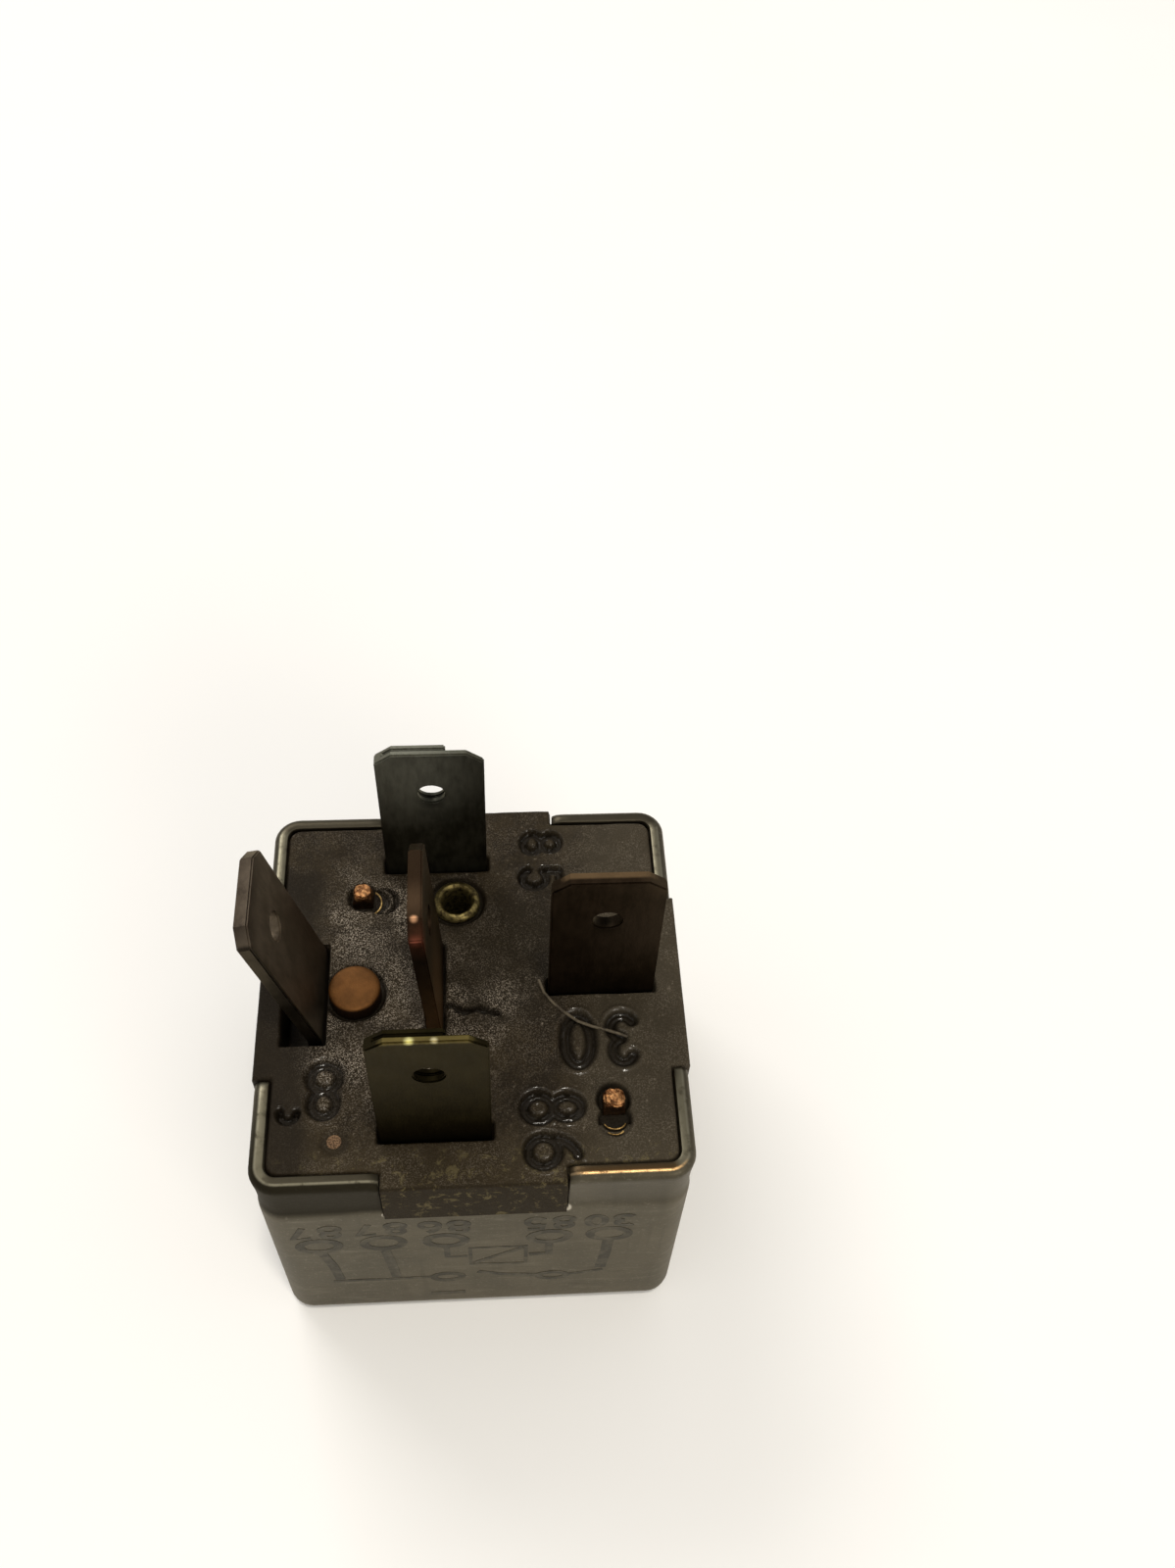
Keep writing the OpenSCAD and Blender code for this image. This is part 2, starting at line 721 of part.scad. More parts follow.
module armature_rivet_places() {
    for (x = [armature_x[0] + 1.4, armature_x[1] - 2.3])
        translate([x, row_y, pivot_z - armature_t - leaf_t]) children();
}

module contact_arm() {
    low = pivot_z - armature_t - leaf_t;
    right = leg_x[1] - leaf_bend_r() + leaf_t/2 - leaf_gap;
    color("goldenrod") opened() difference() {
        union() {
            block([armature_x[0] - 0.5, row_y - arm_w[0]/2, low],
                  [right, row_y + arm_w[0]/2, low + leaf_t]);
            block([arm_tip_x, row_y - arm_w[1]/2, low],
                  [armature_x[0], row_y + arm_w[1]/2, low + leaf_t]);
        }
        peg([contact_x, row_y], contact_shank_d + 2*pin_fit, low - past, low + past);
        armature_rivet_places() rivet_hole(past);
    }
}

module armature_rivets() {
    color("silver") opened() armature_rivet_places() {
        translate([0, 0, -head_t/2]) cylinder(d = small_head_d, h = head_t/2, $fn = thin_fn);
        cylinder(d = small_rivet_d, h = armature_t + leaf_t - pole_gap, $fn = thin_fn);
    }
}

module moving_contact() {
    at = [contact_x, row_y];
    low = pivot_z - armature_t - leaf_t;
    color("silver") opened() {
        peg(at, contact_d, low + leaf_t, low + leaf_t + contact_h);
        peg(at, contact_shank_d, low, low + leaf_t);
        peg(at, small_head_d, low - head_t/2, low);
    }
}

can();
base_plate();
terminal_30();
terminal_85();
terminal_86();
terminal_87_outer();
terminal_87_centre();
eyelet();
contact_rivet();
stake_30();
stake_85();
stake_86();
strap_30();
strap_85();
strap_86();
contact_bracket();
fixed_contact();
yoke();
core();
bobbin();
coil_winding();
coil_tape();
coil_leads();
hinge_spring();
hinge_spring_rivets();
backstop();
armature();
contact_arm();
armature_rivets();
moving_contact();
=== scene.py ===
import math

import bmesh
import bpy
import numpy as np
from mathutils import Matrix, Vector, noise


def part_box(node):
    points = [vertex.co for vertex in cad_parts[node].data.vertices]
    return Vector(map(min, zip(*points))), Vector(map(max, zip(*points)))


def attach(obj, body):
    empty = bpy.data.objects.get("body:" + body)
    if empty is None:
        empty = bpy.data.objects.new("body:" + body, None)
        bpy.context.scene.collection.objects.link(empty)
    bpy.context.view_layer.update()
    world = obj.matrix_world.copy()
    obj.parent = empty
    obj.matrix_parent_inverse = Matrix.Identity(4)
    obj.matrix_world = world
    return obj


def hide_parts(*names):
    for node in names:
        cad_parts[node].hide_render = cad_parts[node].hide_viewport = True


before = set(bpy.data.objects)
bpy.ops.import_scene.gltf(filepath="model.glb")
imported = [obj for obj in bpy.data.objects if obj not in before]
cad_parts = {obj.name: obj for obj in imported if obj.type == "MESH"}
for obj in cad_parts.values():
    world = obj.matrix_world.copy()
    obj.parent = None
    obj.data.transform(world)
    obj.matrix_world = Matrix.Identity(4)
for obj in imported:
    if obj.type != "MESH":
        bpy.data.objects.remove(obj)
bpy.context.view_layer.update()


# ---- Camera ----
# Held over the relay's printed face, looking down on its five blades.

MM = 0.001
LENS = 33.67
CAMERA_AT = Vector((1.433, -42.978, 99.102))
LOOK = Vector((0.06527, 0.59265, -0.80281))
SIDEWAYS = Vector((0.99762, -0.05672, 0.03924))

camera_data = bpy.data.cameras.new("camera")
camera_data.lens = LENS
camera_data.clip_start = 5 * MM
camera = bpy.data.objects.new("camera", camera_data)
bpy.context.collection.objects.link(camera)
turn = Matrix((SIDEWAYS, SIDEWAYS.cross(LOOK), -LOOK)).transposed().to_4x4()
camera.matrix_world = Matrix.Translation(CAMERA_AT * MM) @ turn
bpy.context.scene.camera = camera
bpy.context.scene.view_settings.view_transform = "Standard"


# ---- Studio ----
# A pale matt bench under a soft, dim sky. A wide panel in front lights the relay, one
# behind gives the sheen on its base, and a small lamp gives the glints on its digits.

BENCH_HALF = 2.0
SKY_COLOUR = (1.0, 0.985, 0.96, 1.0)
SKY_STRENGTH = 0.55
LAMPS_AIM = Vector((0, 0, 0.015))
LAMPS = [  # name, place, size, power and colour
    ("back_panel", (-0.3, 0.5, 0.6), (0.4, 0.3), 2.2, (1.0, 0.98, 0.95)),
    ("glint_lamp", (0.05, -0.12, 0.7), (0.06, 0.06), 1.6, (1.0, 0.95, 0.86)),
    ("front_panel", (0.5, -0.9, 0.45), (0.6, 0.6), 4.6, (1.0, 0.93, 0.82)),
]


class Finish:
    """A socket in a material's tree. Sums on it add Math nodes, and add() makes any other node."""

    def __init__(self, tree, socket=None):
        self.tree = tree
        self.socket = socket

    def add(self, kind, settings=None, inputs=None, output=0):
        node = self.tree.nodes.new("ShaderNode" + kind)
        for name, value in (settings or {}).items():
            setattr(node, name, value)
        for name, value in (inputs or {}).items():
            if isinstance(value, Finish):
                self.tree.links.new(value.socket, node.inputs[name])
            else:
                node.inputs[name].default_value = value
        return Finish(self.tree, node.outputs[output] if node.outputs else None)

    def maths(self, operation, first, second=0.0):
        return self.add("Math", {"operation": operation}, {0: first, 1: second})

    def __add__(self, other):
        return self.maths("ADD", self, other)

    def __sub__(self, other):
        return self.maths("SUBTRACT", self, other)

    def __rsub__(self, other):
        return self.maths("SUBTRACT", other, self)

    def __mul__(self, other):
        return self.maths("MULTIPLY", self, other)

    __radd__ = __add__
    __rmul__ = __mul__

    def above(self, low, high):
        """0 below low and 1 above high, eased between. It turns round where low is the larger."""
        return self.add("MapRange", {"interpolation_type": "SMOOTHSTEP"},
                        {"Value": self, "From Min": low, "From Max": high})

    def either(self, other):
        return self.maths("MAXIMUM", self, other)

    def both(self, other):
        return self.maths("MINIMUM", self, other)

    def grain(self, per_mm, detail=2.0, rough=0.5, stretch=None, seed=0.0, warp=0.0):
        """Noise from 0 to 1 on a place in millimetres. A seed moves it, and a stretch draws it out."""
        place = self
        if stretch or seed:
            moved = (seed, 0.7 * seed, 0.4 * seed)
            place = self.add("Mapping", None,
                             {"Vector": self, "Location": moved, "Scale": stretch or (1, 1, 1)})
        return self.add("TexNoise", None, {"Vector": place, "Scale": per_mm, "Detail": detail,
                                           "Roughness": rough, "Distortion": warp})

    def axis(self, index):
        return self.add("SeparateXYZ", None, {0: self}, output=index)

    def mark(self, name):
        """A value that the mesh carries at its points."""
        return self.add("Attribute", {"attribute_name": name}, output="Fac")

    def spot(self, centre, radius, soft=0.5):
        """1 at a place in millimetres, fading to 0 at the radius."""
        away = self.add("VectorMath", {"operation": "DISTANCE"}, {0: self, 1: centre}, output=1)
        return away.above(radius, radius * (1 - soft))


def mixed(mask, under, over):
    """The under colour where the mask is 0, and the over colour where it is 1."""
    return mask.add("Mix", {"data_type": "RGBA"}, {0: mask, 6: under, 7: over}, output=2)


def paint(red, green, blue):
    """A colour as a display shows it, from 0 to 255, made linear."""
    parts = [part / 255 for part in (red, green, blue)]
    return tuple(p / 12.92 if p < 0.04045 else ((p + 0.055) / 1.055) ** 2.4 for p in parts) + (1.0,)


def open_finish(name):
    """A new material, and a socket with the place on the piece in millimetres."""
    material = bpy.data.materials.new(name)
    material.use_nodes = True
    material.node_tree.nodes.clear()
    metres = Finish(material.node_tree).add("TexCoord", output="Object")
    place = metres.add("VectorMath", {"operation": "SCALE"}, {0: metres, "Scale": 1 / MM})
    return material, place


def close_finish(material, place, colour, roughness, metallic=0.0, height=None, relief=0.02, gloss=0.5,
                 coat=0.0, tint=(1.0, 0.97, 0.91)):
    """Fills the shader. Height is in shares of the relief, which is in millimetres."""
    inputs = {"Base Color": colour, "Roughness": roughness, "Metallic": metallic,
              "Specular IOR Level": gloss, "Coat Weight": coat, "Coat Roughness": 0.14,
              "Specular Tint": (*tint, 1.0)}
    if height is not None:
        inputs["Normal"] = place.add("Bump", None, {"Strength": 1.0, "Distance": relief * MM,
                                                    "Height": height})
    shader = place.add("BsdfPrincipled", None, inputs)
    place.add("OutputMaterial", None, {"Surface": shader})
    return material


def add_light(name, place, size, power, colour):
    light = bpy.data.lights.new(name, "AREA")
    light.shape = "RECTANGLE"
    light.size, light.size_y = size
    light.energy = power
    light.color = colour
    lamp = bpy.data.objects.new(name, light)
    lamp.location = place
    lamp.rotation_euler = (LAMPS_AIM - Vector(place)).to_track_quat("-Z", "Y").to_euler()
    bpy.context.collection.objects.link(lamp)


def bench_finish():
    material, place = open_finish("bench_paint")
    mottle = place.grain(0.02, 3.0)
    colour = mixed(mottle, paint(240, 239, 237), paint(247, 246, 244))
    return close_finish(material, place, colour, 0.75 + 0.1 * mottle)


bench_mesh = bpy.data.meshes.new("bench")
bench_mesh.from_pydata([(BENCH_HALF * x, BENCH_HALF * y, 0) for x, y in ((-1, -1), (1, -1), (1, 1), (-1, 1))],
                       [], [(0, 1, 2, 3)])
bench_mesh.materials.append(bench_finish())
bench = bpy.data.objects.new("bench", bench_mesh)
bpy.context.collection.objects.link(bench)

world = bpy.data.worlds.new("soft_sky")
world.use_nodes = True
world.node_tree.nodes["Background"].inputs["Color"].default_value = SKY_COLOUR
world.node_tree.nodes["Background"].inputs["Strength"].default_value = SKY_STRENGTH
bpy.context.scene.world = world
for lamp_row in LAMPS:
    add_light(*lamp_row)


# ---- Can ----
# Drawn from tinned steel sheet 0.5 mm thick, square, 25 mm wide. Its rim is
# crimped in over the base at the four corners, between notches for the base's tabs.

CAN_HALF = 12.5
CAN_CORNER = 1.6
FLOOR_BEND = 1.2
FLOOR_SHARE = 0.93  # how far the floor's first ring is drawn in to the middle
SHEET = 0.5
RIM = 21.0
RIM_BEND = 0.5
LIP = 0.45
LIP_REACH = 0.9
LIP_DIP = 0.22  # how far the lip is pressed down beside a notch, and over what length
LIP_DIP_LENGTH = 0.6
NOTCH_FRONT = 5.3
NOTCH_SIDE = 5.85
NOTCH_FLOOR = 16.5
SHOULDER = 16.9
CRIMP = 0.06  # how far the wall is pressed in above the shoulder, measured inside
CUT_EDGE = 0.06
FACES = [((0, -1), (1, 0)), ((1, 0), (0, 1)), ((0, 1), (-1, 0)), ((-1, 0), (0, -1))]  # normal, along


def new_piece(name, shape, material, sharp=35):
    """A shape in millimetres becomes a closed, smooth-shaded piece that rides on the housing."""
    bmesh.ops.dissolve_degenerate(shape, dist=0.0005, edges=shape.edges)
    bmesh.ops.recalc_face_normals(shape, faces=shape.faces)
    bmesh.ops.scale(shape, vec=(MM, MM, MM), verts=shape.verts)
    for face in shape.faces:
        face.smooth = True
    for edge in shape.edges:
        edge.smooth = edge.calc_face_angle(0) < math.radians(sharp)
    mesh = bpy.data.meshes.new(name)
    shape.to_mesh(mesh)
    shape.free()
    mesh.materials.append(material)
    piece = bpy.data.objects.new(name, mesh)
    bpy.context.collection.objects.link(piece)
    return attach(piece, "housing")


def sheet_wave(along, up):
    """How far a hand-worn face of the can lies in from flat, in millimetres."""
    ease = max(0.0, min(1.0, (up - 2) / 3)) * max(0.0, min(1.0, (19.5 - up) / 3))
    ease *= max(0.0, min(1.0, (10.5 - abs(along)) / 3))
    return ease * (0.05 + 0.03 * math.sin(0.55 * along + 0.3 * up) + 0.02 * math.sin(0.9 * up - 0.4 * along))


def can_posts():
    """Upright lines round the can: core point, normal, place along the face, and distance past the notch."""
    flat = CAN_HALF - CAN_CORNER
    posts = []
    for face, (normal, along) in enumerate(FACES):
        notch = NOTCH_FRONT if face % 2 == 0 else NOTCH_SIDE
        half = [0, 2.6, notch, notch + 0.12, notch + 0.3, notch + 0.6, notch + 1.2, 8.2, 9.4, flat]
        for s in [-h for h in reversed(half[1:])] + half:
            core = [flat * normal[k] + s * along[k] for k in range(2)]
            posts.append((core, normal, s, abs(s) - notch))
        for step in range(1, 8):
            a = math.radians(90 * step / 8)
            turned = [math.cos(a) * normal[k] + math.sin(a) * along[k] for k in range(2)]
            core = [flat * (normal[k] + along[k]) for k in range(2)]
            posts.append((core, turned, flat, flat - notch))
    return posts


def can_profile():
    """The sheet's section from the floor, up outside and down inside: inset, height and share of the core."""
    def bend(inset, up, r, start, end, steps):
        angles = [math.radians(start + (end - start) * i / steps) for i in range(steps + 1)]
        return [(inset - r * math.cos(a), up + r * math.sin(a), 1.0) for a in angles]

    rows = [(FLOOR_BEND, 0.0, FLOOR_SHARE)]
    rows += bend(FLOOR_BEND, FLOOR_BEND, FLOOR_BEND, -90, 0, 7)
    rows += [(0.0, up, 1.0) for up in (1.7, 3, 5, 7, 9, 11, 13, 15, 16.2, NOTCH_FLOOR)]
    rows += [(0.03, SHOULDER, 1.0), (0.1, 17.2, 1.0), (0.11, 18.2, 1.0), (0.08, 19.4, 1.0), (0.02, 20.2, 1.0)]
    rows += bend(RIM_BEND, RIM - RIM_BEND, RIM_BEND, 0, 90, 6)
    rows += [(0.72, 20.99, 1.0), (0.83, 20.96, 1.0), (LIP_REACH, 20.86, 1.0), (LIP_REACH, 20.62, 1.0),
             (0.84, RIM - LIP, 1.0), (SHEET + CRIMP, RIM - LIP, 1.0), (SHEET + CRIMP, 18.5, 1.0)]
    rows += [(SHEET, NOTCH_FLOOR, 1.0), (SHEET, 9, 1.0)]
    rows += bend(FLOOR_BEND, FLOOR_BEND, FLOOR_BEND - SHEET, 0, -90, 5)
    rows += [(FLOOR_BEND, SHEET, FLOOR_SHARE)]
    return rows


def can_shape():
    """The can as one closed shell, with its lip marked bare and its cut edges rounded."""
    posts, rows = can_posts(), can_profile()
    shape = bmesh.new()
    bare = shape.verts.layers.float.new("bare")
    grid = []
    for inset, up, share in rows:
        ring = []
        for core, normal, along, past_notch in posts:
            reach = CAN_CORNER - inset
            drop = 0.0
            if up > 20.3 and 0 <= past_notch < LIP_DIP_LENGTH:
                drop = LIP_DIP * (1 - past_notch / LIP_DIP_LENGTH) ** 2
            reach -= sheet_wave(along, up) if share == 1.0 else 0.0
            ring.append(shape.verts.new((share * core[0] + reach * normal[0],
                                         share * core[1] + reach * normal[1], up - drop)))
            ring[-1][bare] = min(1.0, max(0.0, (inset - 0.3) / 0.3)) if up > 20.6 else 0.0
        grid.append(ring)
    outer = next(i for i, row in enumerate(rows) if row[1] == NOTCH_FLOOR)
    inner = len(rows) - 1 - next(i for i, row in enumerate(reversed(rows)) if row[1] == NOTCH_FLOOR)
    count = len(posts)
    for c in range(count):
        after = (c + 1) % count
        in_notch = posts[c][3] <= 0 and posts[after][3] <= 0
        for r in range(len(rows) - 1):
            if not (in_notch and outer <= r < inner):
                shape.faces.new((grid[r][c], grid[r][after], grid[r + 1][after], grid[r + 1][c]))
        if in_notch:
            shape.faces.new((grid[outer][c], grid[outer][after], grid[inner][after], grid[inner][c]))
        if posts[c][3] == 0:
            shape.faces.new([grid[r][c] for r in range(outer, inner + 1)])
    shape.faces.new(grid[0])
    shape.faces.new(grid[-1])
    bmesh.ops.delete(shape, geom=[v for v in shape.verts if not v.link_faces], context="VERTS")
    bmesh.ops.recalc_face_normals(shape, faces=shape.faces)
    cut = [e for e in shape.edges if e.calc_face_angle(0) > math.radians(62)]
    bmesh.ops.bevel(shape, geom=cut, offset=CUT_EDGE, segments=2, affect="EDGES", clamp_overlap=True)
    return shape


def sheet_layers(place):
    """The can's dull plating, with a painted highlight along the bend at its floor: colour, roughness,
    metallic and height, which the print is laid over.
    """
    across, depth, up = (place.axis(i) for i in range(3))
    cloud = place.grain(0.22, 3.0, 0.55, seed=4.0)
    fine = place.grain(5.0, 3.0, 0.6)
    drawn = place.grain(1.2, 2.0, 0.5, stretch=(1.0, 1.0, 0.12), seed=9.0)
    wiped = place.grain(0.9, 4.0, 0.65, stretch=(0.35, 0.35, 1.6), seed=11.0)
    shoulder = (up + 0.5 * place.grain(0.35, 1.0)).above(SHOULDER, SHOULDER + 0.7)
    left = across.above(3.0, -3.0) * depth.above(-6.0, -12.0)
    colour = mixed(cloud.above(0.3, 0.7), paint(78, 73, 60), paint(92, 86, 72))
    colour = mixed(across.above(-3.0, -11.0) * 0.3, colour, paint(62, 60, 52))
    colour = mixed(wiped.above(0.52, 0.72) * 0.5, colour, paint(114, 108, 94))
    colour = mixed(wiped.above(0.46, 0.3) * 0.4, colour, paint(60, 56, 45))
    colour = mixed(fine.above(0.54, 0.78) * 0.5, colour, paint(136, 130, 116))
    colour = mixed(drawn.above(0.55, 0.75) * 0.35, colour, paint(68, 64, 54))
    colour = mixed(shoulder * (0.3 + 0.6 * left), colour, paint(32, 28, 18))
    # A painted highlight, broken by grain, lightens the bend at the can's floor.
    floor_bend_highlight = up.above(1.3, 0.6) * fine.above(0.3, 0.6)
    colour = mixed(floor_bend_highlight * 0.6, colour, paint(150, 146, 134))
    roughness = 0.42 + 0.16 * fine + 0.1 * cloud + shoulder * (0.25 * left - 0.08)
    return colour, roughness, 0.8 + 0.1 * cloud, 0.6 * fine + 0.4 * drawn


def can_finish():
    """The plating, worn bare along the lip with a painted highlight on its crest, and nicked beside the front
    notch with painted glints on the nicks.
    """
    material, place = open_finish("can_sheet")
    colour, roughness, metallic, height = sheet_layers(place)
    across, depth, up = (place.axis(i) for i in range(3))
    scuff = place.grain(1.6, 3.0, 0.6, seed=2.0)
    lip = place.mark("bare")
    # The lip's crest is bare metal, and the bright line along it, gold towards the front right, is a painted
    # highlight on it.
    line = lip.above(0.02, 0.2) * lip.above(0.7, 0.4)
    worn = line * scuff.above(0.3, 0.5) * depth.above(11.8, 11.4).either(across.above(4.0, 6.0))
    gold = across.above(4.5, 6.5).both(depth.above(-11.4, -12.0))
    bare = mixed(gold, paint(72, 67, 55), paint(80, 62, 40))
    beside = across.above(11.1, 11.7).either(across.above(-11.1, -11.7))
    bare = mixed(beside * scuff.above(0.2, 0.5), bare, paint(110, 105, 88))
    bare = mixed(worn, bare, mixed(gold, paint(124, 119, 102), paint(176, 142, 98)))
    bare = mixed(depth.above(11.0, 11.6), bare, paint(66, 61, 50))
    crest = lip.above(0.02, 0.3)
    upright = place.add("VectorMath", {"operation": "MULTIPLY"}, {0: place, 1: (1.0, 1.0, 0.45)})
    # Two small pale spots at the front notch's lower corners are bare nicks with painted glints on them.
    nick_glint = upright.spot((5.3, -12.5, 7.5), 0.3).either(upright.spot((-5.3, -12.5, 7.5), 0.16))
    bare = mixed(nick_glint, bare, paint(190, 184, 170))
    rim = crest.either(nick_glint)
    colour = mixed(rim, colour, bare)
    roughness = roughness - 0.1 * rim
    metallic = metallic + 0.2 * rim
    return close_finish(material, place, colour, roughness, metallic, height, relief=0.012, gloss=0.2)


can = new_piece("can_shell", can_shape(), can_finish())
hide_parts("can")


# ---- Print on the can ----
# A wiring diagram and the terminal numbers, in one pad-printed ink that has
# nearly worn off. The can is printed with its blades down, so they read upside down.

INK = 0.02
NUMBERS = [(3, 0, 7.9), (8, 5, 4.3), (8, 6, -1.9), (8, 7, -5.6), (8, 7, -9.4)]  # digits, and place across
NUMBER_UP = 14.35
DIGIT_HALF = (0.52, 0.85)
DIGIT_APART = 0.85
DIGIT_STROKE = 0.42
RING_UP = 12.1
RING_RADII = (1.15, 0.92)
RING_STROKE = 0.55


def arc(centre, radii, start, end, steps=14):
    """Points along an ellipse, from one angle to another."""
    angles = [math.radians(start + (end - start) * i / steps) for i in range(steps + 1)]
    return [(centre[0] + radii[0] * math.cos(a), centre[1] + radii[1] * math.sin(a)) for a in angles]


def digit_lines(number):
    """Centre lines of a digit in a box of width and height 2 round the origin, with y up."""
    lines = {
        0: [arc((0, 0), (1, 1), 0, 360, 28)],
        3: [arc((0, 0.5), (0.9, 0.5), 150, -80), arc((0, -0.5), (1, 0.5), 80, -150)],
        5: [[(0.9, 1), (-0.75, 1), (-0.8, 0.12)], arc((-0.05, -0.35), (1, 0.65), 130, -150)],
        6: [arc((0, -0.4), (1, 0.6), 0, 360, 24), arc((0.9, -0.2), (1.85, 1.2), 172, 108, 8)],
        7: [[(-1, 1), (1, 1), (-0.3, -1)]],
        8: [arc((0, 0.5), (0.85, 0.5), 0, 360, 20), arc((0, -0.5), (1, 0.5), 0, 360, 20)],
    }
    return lines[number]


def ink_line(shape, line, width):
    """A flat line of ink on the can's front face, through points across and up it."""
    closed = line[0] == line[-1] or math.dist(line[0], line[-1]) < 1e-4
    points = line[:-1] if closed else line
    count = len(points)
    sides = []
    for i, (x, z) in enumerate(points):
        before = points[i - 1] if i or closed else points[i]
        after = points[(i + 1) % count] if i + 1 < count or closed else points[i]
        dx, dz = after[0] - before[0], after[1] - before[1]
        length = math.hypot(dx, dz)
        side = (-dz / length * width / 2, dx / length * width / 2)
        corners = []
        for sign in (1, -1):
            px, pz = x + sign * side[0], z + sign * side[1]
            face = -CAN_HALF + sheet_wave(px, pz)
            corners += [shape.verts.new((px, face - INK, pz)), shape.verts.new((px, face + INK, pz))]
        sides.append(corners)
    for i in range(count if closed else count - 1):
        a, b = sides[i], sides[(i + 1) % count]
        for k, m in ((0, 1), (1, 3), (3, 2), (2, 0)):
            shape.faces.new((a[k], a[m], b[m], b[k]))
    if not closed:
        for end in (sides[0], sides[-1]):
            shape.faces.new((end[0], end[1], end[3], end[2]))


WIRING = [  # points across and up the face, and the line's width
    ([(-9.4, 11.1), (-8.9, 8.5), (-8.7, 5.9)], 0.6),
    ([(-5.6, 11.1), (-5.35, 8.5), (-5.2, 5.9)], 0.6),
    ([(-9.2, 5.6), (-6.0, 5.6), (-3.0, 5.6)], 0.34),
    (arc((-2.0, 5.5), (0.9, 0.6), 0, 360, 24), 0.46),
    (arc((4.6, 5.0), (0.9, 0.6), 0, 360, 24), 0.46),
    ([(5.6, 5.1), (7.0, 5.4), (7.8, 5.7)], 0.34),
    ([(7.9, 11.1), (7.8, 8.5), (7.6, 6.1)], 0.7),
    ([(3.6, 5.2), (1.4, 5.6), (-0.1, 6.2)], 0.44),
    ([(-0.5, 10.6), (2.9, 10.6), (2.9, 7.6), (-0.5, 7.6), (-0.5, 10.6)], 0.34),
    ([(-0.3, 7.8), (2.7, 10.4)], 0.34),
    ([(-1.9, 11.1), (-1.9, 9.1), (-0.7, 9.1)], 0.4),
    ([(4.3, 11.1), (4.3, 9.2), (3.1, 9.1)], 0.5),
    ([(-3.2, 2.5), (-1.0, 2.5)], 0.5),
]


def print_shape():
    """The terminals' rings and numbers, upside down, and the wiring between them."""
    shape = bmesh.new()
    for first, second, x in NUMBERS:
        ink_line(shape, arc((x, RING_UP), RING_RADII, 0, 360, 32), RING_STROKE)
        for number, shift in ((first, DIGIT_APART), (second, -DIGIT_APART)):
            for line in digit_lines(number):
                turned = [(x + shift - DIGIT_HALF[0] * u, NUMBER_UP - DIGIT_HALF[1] * v) for u, v in line]
                ink_line(shape, turned, DIGIT_STROKE)
    for line, width in WIRING:
        ink_line(shape, line, width)
    return shape


def ink_finish():
    """Ink that is worn through to the plating in patches."""
    material, place = open_finish("worn_ink")
    colour, roughness, metallic, height = sheet_layers(place)
    kept = place.grain(0.9, 3.0, 0.6, seed=7.0).above(0.32, 0.6) * 0.5
    kept = kept + 0.4 * place.grain(4.0, 2.0, 0.6, seed=3.0)
    colour = mixed(kept, colour, paint(30, 28, 21))
    return close_finish(material, place, colour, roughness + 0.1 * kept, metallic - 0.35 * kept,
                        height, relief=0.012)


ink = new_piece("printed_diagram", print_shape(), ink_finish())


# ---- Base ----
# Moulded from dark phenolic with the terminal numbers standing in sunk rings.
# It is dusty, scratched, and cracked between the middle blade and terminal 30.

BASE_TOP = 21.0
BASE_UNDER = 17.8
TAB_UNDER = 16.6
BASE_HALF = 11.9
BASE_CORNER = 1.1
TAB_REACH = 12.65
TAB_FRONT = 5.2
TAB_SIDE = 5.75
CELL = 0.1
EYELET_AT = (-0.9, 5.85)
RIVET_AT = (-6.95, -0.4)
FLUSH_PIN_AT = (-7.8, -9.7)
EYELET_HOLE = 1.04
SLOT_DEPTH = 0.7
POCKET_DEPTH = 2.4
CRACK_DEPTH = 0.5
CRESCENT_RISE = 0.4
DIGIT_DEPTH = 0.42
DIGIT_CROWN = 0.1  # how far the middle of a stroke stands up in its groove
BERM = 0.07  # height of the raised edge round a groove
EDGE_ROUND = 0.22
SEAT_HALF = 11.52  # inside this the top is level, and outside it the base is cut back under the can's lip
SEAT_DEPTH = 0.55
WALL_INSIDE = 11.5
SLOTS = [(7.7, -0.4, 3.15, 0.4), (-2.12, 8.575, 3.15, 0.4), (-2.12, -9.375, 3.15, 0.4),
         (-2.15, -0.4, 0.4, 3.15)]  # middle and half size of each blade at the base
OUTER_SLOT = (-9.9, -0.4, 1.2, 3.25)
PITS = [(EYELET_AT, 1.8, 0.4), (RIVET_AT, 1.88, 0.5), ((-6.65, 6.3), 1.0, 0.5), ((-5.45, 6.05), 1.0, 0.5),
        ((8, -7.75), 1.0, 0.5), ((8, -9), 1.0, 0.5), (FLUSH_PIN_AT, 0.85, 0.12)]  # middle, radius, depth
WORN_SEVEN = [arc((0, 0.7), (0.8, 0.34), -10, 180)]
DIGITS = [  # lines, middle, turn, height, width and half stroke
    (digit_lines(8), (4.5, 10.1), -90, 2.9, 2.0, 0.32), (digit_lines(5), (4.4, 7.4), -90, 3.0, 2.0, 0.32),
    (digit_lines(0), (6.15, -3.95), 180, 3.9, 2.45, 0.44), (digit_lines(3), (8.8, -3.9), 180, 3.8, 2.2, 0.42),
    (digit_lines(8), (4.5, -8.1), -90, 4.0, 2.25, 0.36), (digit_lines(6), (4.45, -10.7), -90, 3.6, 2.4, 0.36),
    (digit_lines(8), (-8.5, -6.55), 180, 3.9, 2.4, 0.38), (WORN_SEVEN, (-10.45, -6.9), 180, 3.4, 1.7, 0.27),
]
CRACK = [(-1.7, -1.35), (-1.35, -1.3), (-1.1, -1.42), (-0.75, -1.72), (-0.3, -1.78), (0.2, -1.62),
         (0.55, -1.7), (1.04, -1.78), (1.5, -2.0)]
CRESCENTS = [arc((-5.55, 6.05), (0.62, 0.78), -80, 80), arc((8, -9.15), (0.78, 0.62), -165, -15)]


def eased(value, low, high):
    """0 at low and 1 at high, eased between."""
    share = np.clip((value - low) / (high - low), 0, 1)
    return share * share * (3 - 2 * share)


